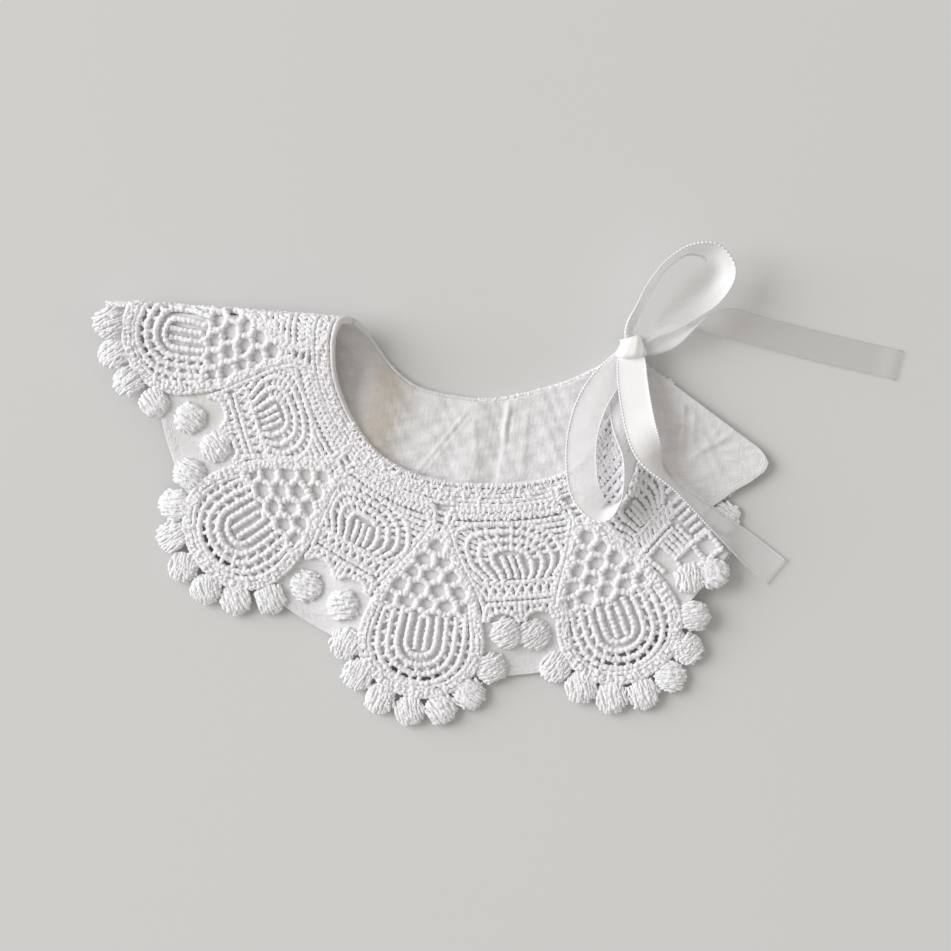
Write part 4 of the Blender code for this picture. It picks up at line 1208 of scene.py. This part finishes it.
def ribbon(name, rows, open_inside=0.0, painted_shade_from=None, edge_cover=SELVEDGE_COVER):
    """A thin woven strip, its two selvedges a little thicker, gathered where it is narrow."""
    arc = arc_lengths(np.array(rows)[:, :3])
    run = np.linspace(0.0, arc[-1], round(arc[-1] / RIBBON_STEP) + 1)
    path = smooth(np.column_stack((arc, rows)), run)
    places, turn, half, weave = path[:, :3], np.radians(path[:, 3]), path[:, 4:5] / 2, path[:, 5]
    ahead = np.gradient(places, axis=0)
    ahead /= np.linalg.norm(ahead, axis=1)[:, None]
    level = np.cross(ahead, (0.0, 0.0, 1.0))
    level /= np.linalg.norm(level, axis=1)[:, None]
    side = level * np.cos(turn)[:, None] + np.cross(level, ahead) * np.sin(turn)[:, None]
    face = np.cross(side, ahead)
    gather = np.clip((RIBBON_WIDTH / 2 - half) / 1.5, 0.0, 1.0)
    verts, flats, cover, selvedge = [], [], [], []
    for sheet_side in (1, -1):
        for across in RIBBON_COLUMNS:
            at_edge = float(abs(across) > SELVEDGE_FROM)
            wall = RIBBON_THIN / 2 * (SELVEDGE_THICKER if at_edge else 1.0)
            opened = open_inside * ease((across + 0.35) / 1.1) * ease((68.0 - np.abs(path[:, 3])) / 25.0)
            seen = (weave + edge_cover * at_edge) * (1 - opened)
            cover.append(1 - np.sqrt(1 - np.clip(seen, 0.0, 1.0)))
            selvedge.append(np.full(len(run), at_edge))
            wave = gather * GATHER_DEEP * math.cos(across * 9.0)
            verts.append(places + side * half * across + face * (sheet_side * wall + wave))
            flats.append(np.column_stack((run, np.full(len(run), across * RIBBON_WIDTH / 2))))
    count, wide = len(run), len(RIBBON_COLUMNS)
    at = np.arange(2 * wide * count).reshape(2, wide, count).tolist()
    faces = []
    for i in range(count - 1):
        for j in range(wide - 1):
            faces.append((at[0][j][i], at[0][j][i + 1], at[0][j + 1][i + 1], at[0][j + 1][i]))
            faces.append((at[1][j][i], at[1][j + 1][i], at[1][j + 1][i + 1], at[1][j][i + 1]))
        faces.append((at[0][0][i], at[1][0][i], at[1][0][i + 1], at[0][0][i + 1]))
        faces.append((at[0][-1][i], at[0][-1][i + 1], at[1][-1][i + 1], at[1][-1][i]))
    for i in (0, count - 1):
        for j in range(wide - 1):
            faces.append((at[0][j][i], at[0][j + 1][i], at[1][j + 1][i], at[1][j][i]))
    verts = np.vstack(verts)
    verts[:, 2] = np.maximum(verts[:, 2], RIBBON_CLEAR)
    piece = new_piece(name, verts, faces, SATIN, np.vstack(flats))
    # painted shade along the ribbon past a given length, which darkens the long tail; zero on the other ribbons
    painted_tail_shade = ease((run - painted_shade_from) / 12.0) if painted_shade_from is not None else np.zeros(len(run))
    for key, values in (("cover", cover), ("selvedge", selvedge), ("painted_tail_shade", [painted_tail_shade] * 2 * wide)):
        set_values(piece.data, key, np.concatenate(values))
    return face_outward(piece), arc[-1]


def knot_wrap(name):
    """The knot: the ribbon wrapped tightly round the loops, narrow at its top, with a soft lower rim."""
    rings, sides = len(KNOT_RINGS), 48
    verts, flats = [], []
    for i, (y, half, high, centre) in enumerate(KNOT_RINGS):
        for j in range(sides):
            turn = 2 * math.pi * j / sides
            gathers = 1 + 0.03 * math.sin(turn * 9 + 0.5 * i) + 0.02 * math.sin(turn * 4 + 1.0)
            x, z = (size * gathers * math.copysign(abs(wave) ** 0.9, wave)
                    for size, wave in ((half, math.cos(turn)), (high, math.sin(turn))))
            verts.append((centre + x, y + 0.25 * math.sin(turn * 2 + 0.6), KNOT_HEIGHT + z))
            flats.append((y, turn * 4))
    faces = ring_faces(rings, sides)
    faces.append(tuple(range(sides)))
    faces.append(tuple(range(sides * (rings - 1), sides * rings))[::-1])
    piece = face_outward(new_piece(name, verts, faces, SATIN, flats))
    for key, value in (("cover", 1.0), ("selvedge", 0.0), ("painted_tail_shade", 0.0)):
        set_values(piece.data, key, [value] * len(verts))
    return piece


BINDINGS = keep_halves(binding, "binding_{}_rolled", "binding", "binding")
keep(knot_wrap("bow_knot_wrap"), "satin ribbon", "bow_knot")
RIBBONS = {}      # piece and length, by the solid that it stands for
for solid, rows, looks in (("bow_loop_upper", UPPER_LOOP, {"open_inside": 0.97}),
                           ("bow_loop_lower", LOWER_LOOP, {}),
                           ("bow_tail_short", SHORT_TAIL, {}),
                           ("bow_tail_long", LONG_TAIL, {"painted_shade_from": 24.0, "edge_cover": 0.08}),
                           ("tie_upper", UPPER_TIE, {}),
                           ("tie_lower", LOWER_TIE, {})):
    RIBBONS[solid] = ribbon(solid + "_ribbon", rows, **looks)
    keep(RIBBONS[solid][0], "satin ribbon", solid)


# ---- Table, light and camera -----------------------------------------------
TABLE_CORNERS = ((-3000, -3000, 0), (3000, -3000, 0), (3000, 3000, 0), (-3000, 3000, 0))


def area_light(name, place, aim, size, power, colour):
    data = bpy.data.lights.new(name, "AREA")
    data.size, data.energy, data.color = size, power, colour
    lamp = in_scene(name, data)
    lamp.location = place
    lamp.rotation_euler = (Vector(aim) - Vector(place)).to_track_quat("-Z", "Y").to_euler()


table = new_piece("table", TABLE_CORNERS, [(0, 1, 2, 3)], table_top())
area_light("window", (-7.1, 2.3, 4.3), (0, 0, 0), 6.4, 742.0, (0.965, 0.975, 1.0))
world = bpy.data.worlds.new("room")
world.use_nodes = True
world.node_tree.nodes["Background"].inputs["Color"].default_value = (1.0, 0.965, 0.90, 1.0)
world.node_tree.nodes["Background"].inputs["Strength"].default_value = 0.49
bpy.context.scene.world = world
bpy.context.scene.view_settings.view_transform = "Standard"

lens = bpy.data.cameras.new("overhead")
lens.sensor_width, lens.lens = 36.0, 88.0
lens.clip_start, lens.clip_end = 0.01, 20.0
camera = in_scene("overhead", lens)
camera.location = (-0.0084, 0.0026, 0.75)
bpy.context.scene.camera = camera

# ---- What each piece stands for --------------------------------------------
for piece, finish, solid in PIECES:
    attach(piece, "root")
    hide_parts(solid)


def flat_size(points):
    """The smaller and larger side of a cut's box, in metres."""
    away = points - points.mean(axis=0)
    _, axes = np.linalg.eigh(away.T @ away)
    spread = away @ axes
    return tuple(sorted(float(s) for s in (spread.max(axis=0) - spread.min(axis=0)) * MM))


for low, (piece, area, flat) in enumerate(LININGS):
    flat_size(flat)
for solid, under in (("bow_loop_upper", "muslin_lower"), ("bow_loop_lower", "lace_upper_medallions"),
                     ("bow_tail_short", "lace_upper_medallions"), ("bow_tail_long", "table")):
    piece, length = RIBBONS[solid]
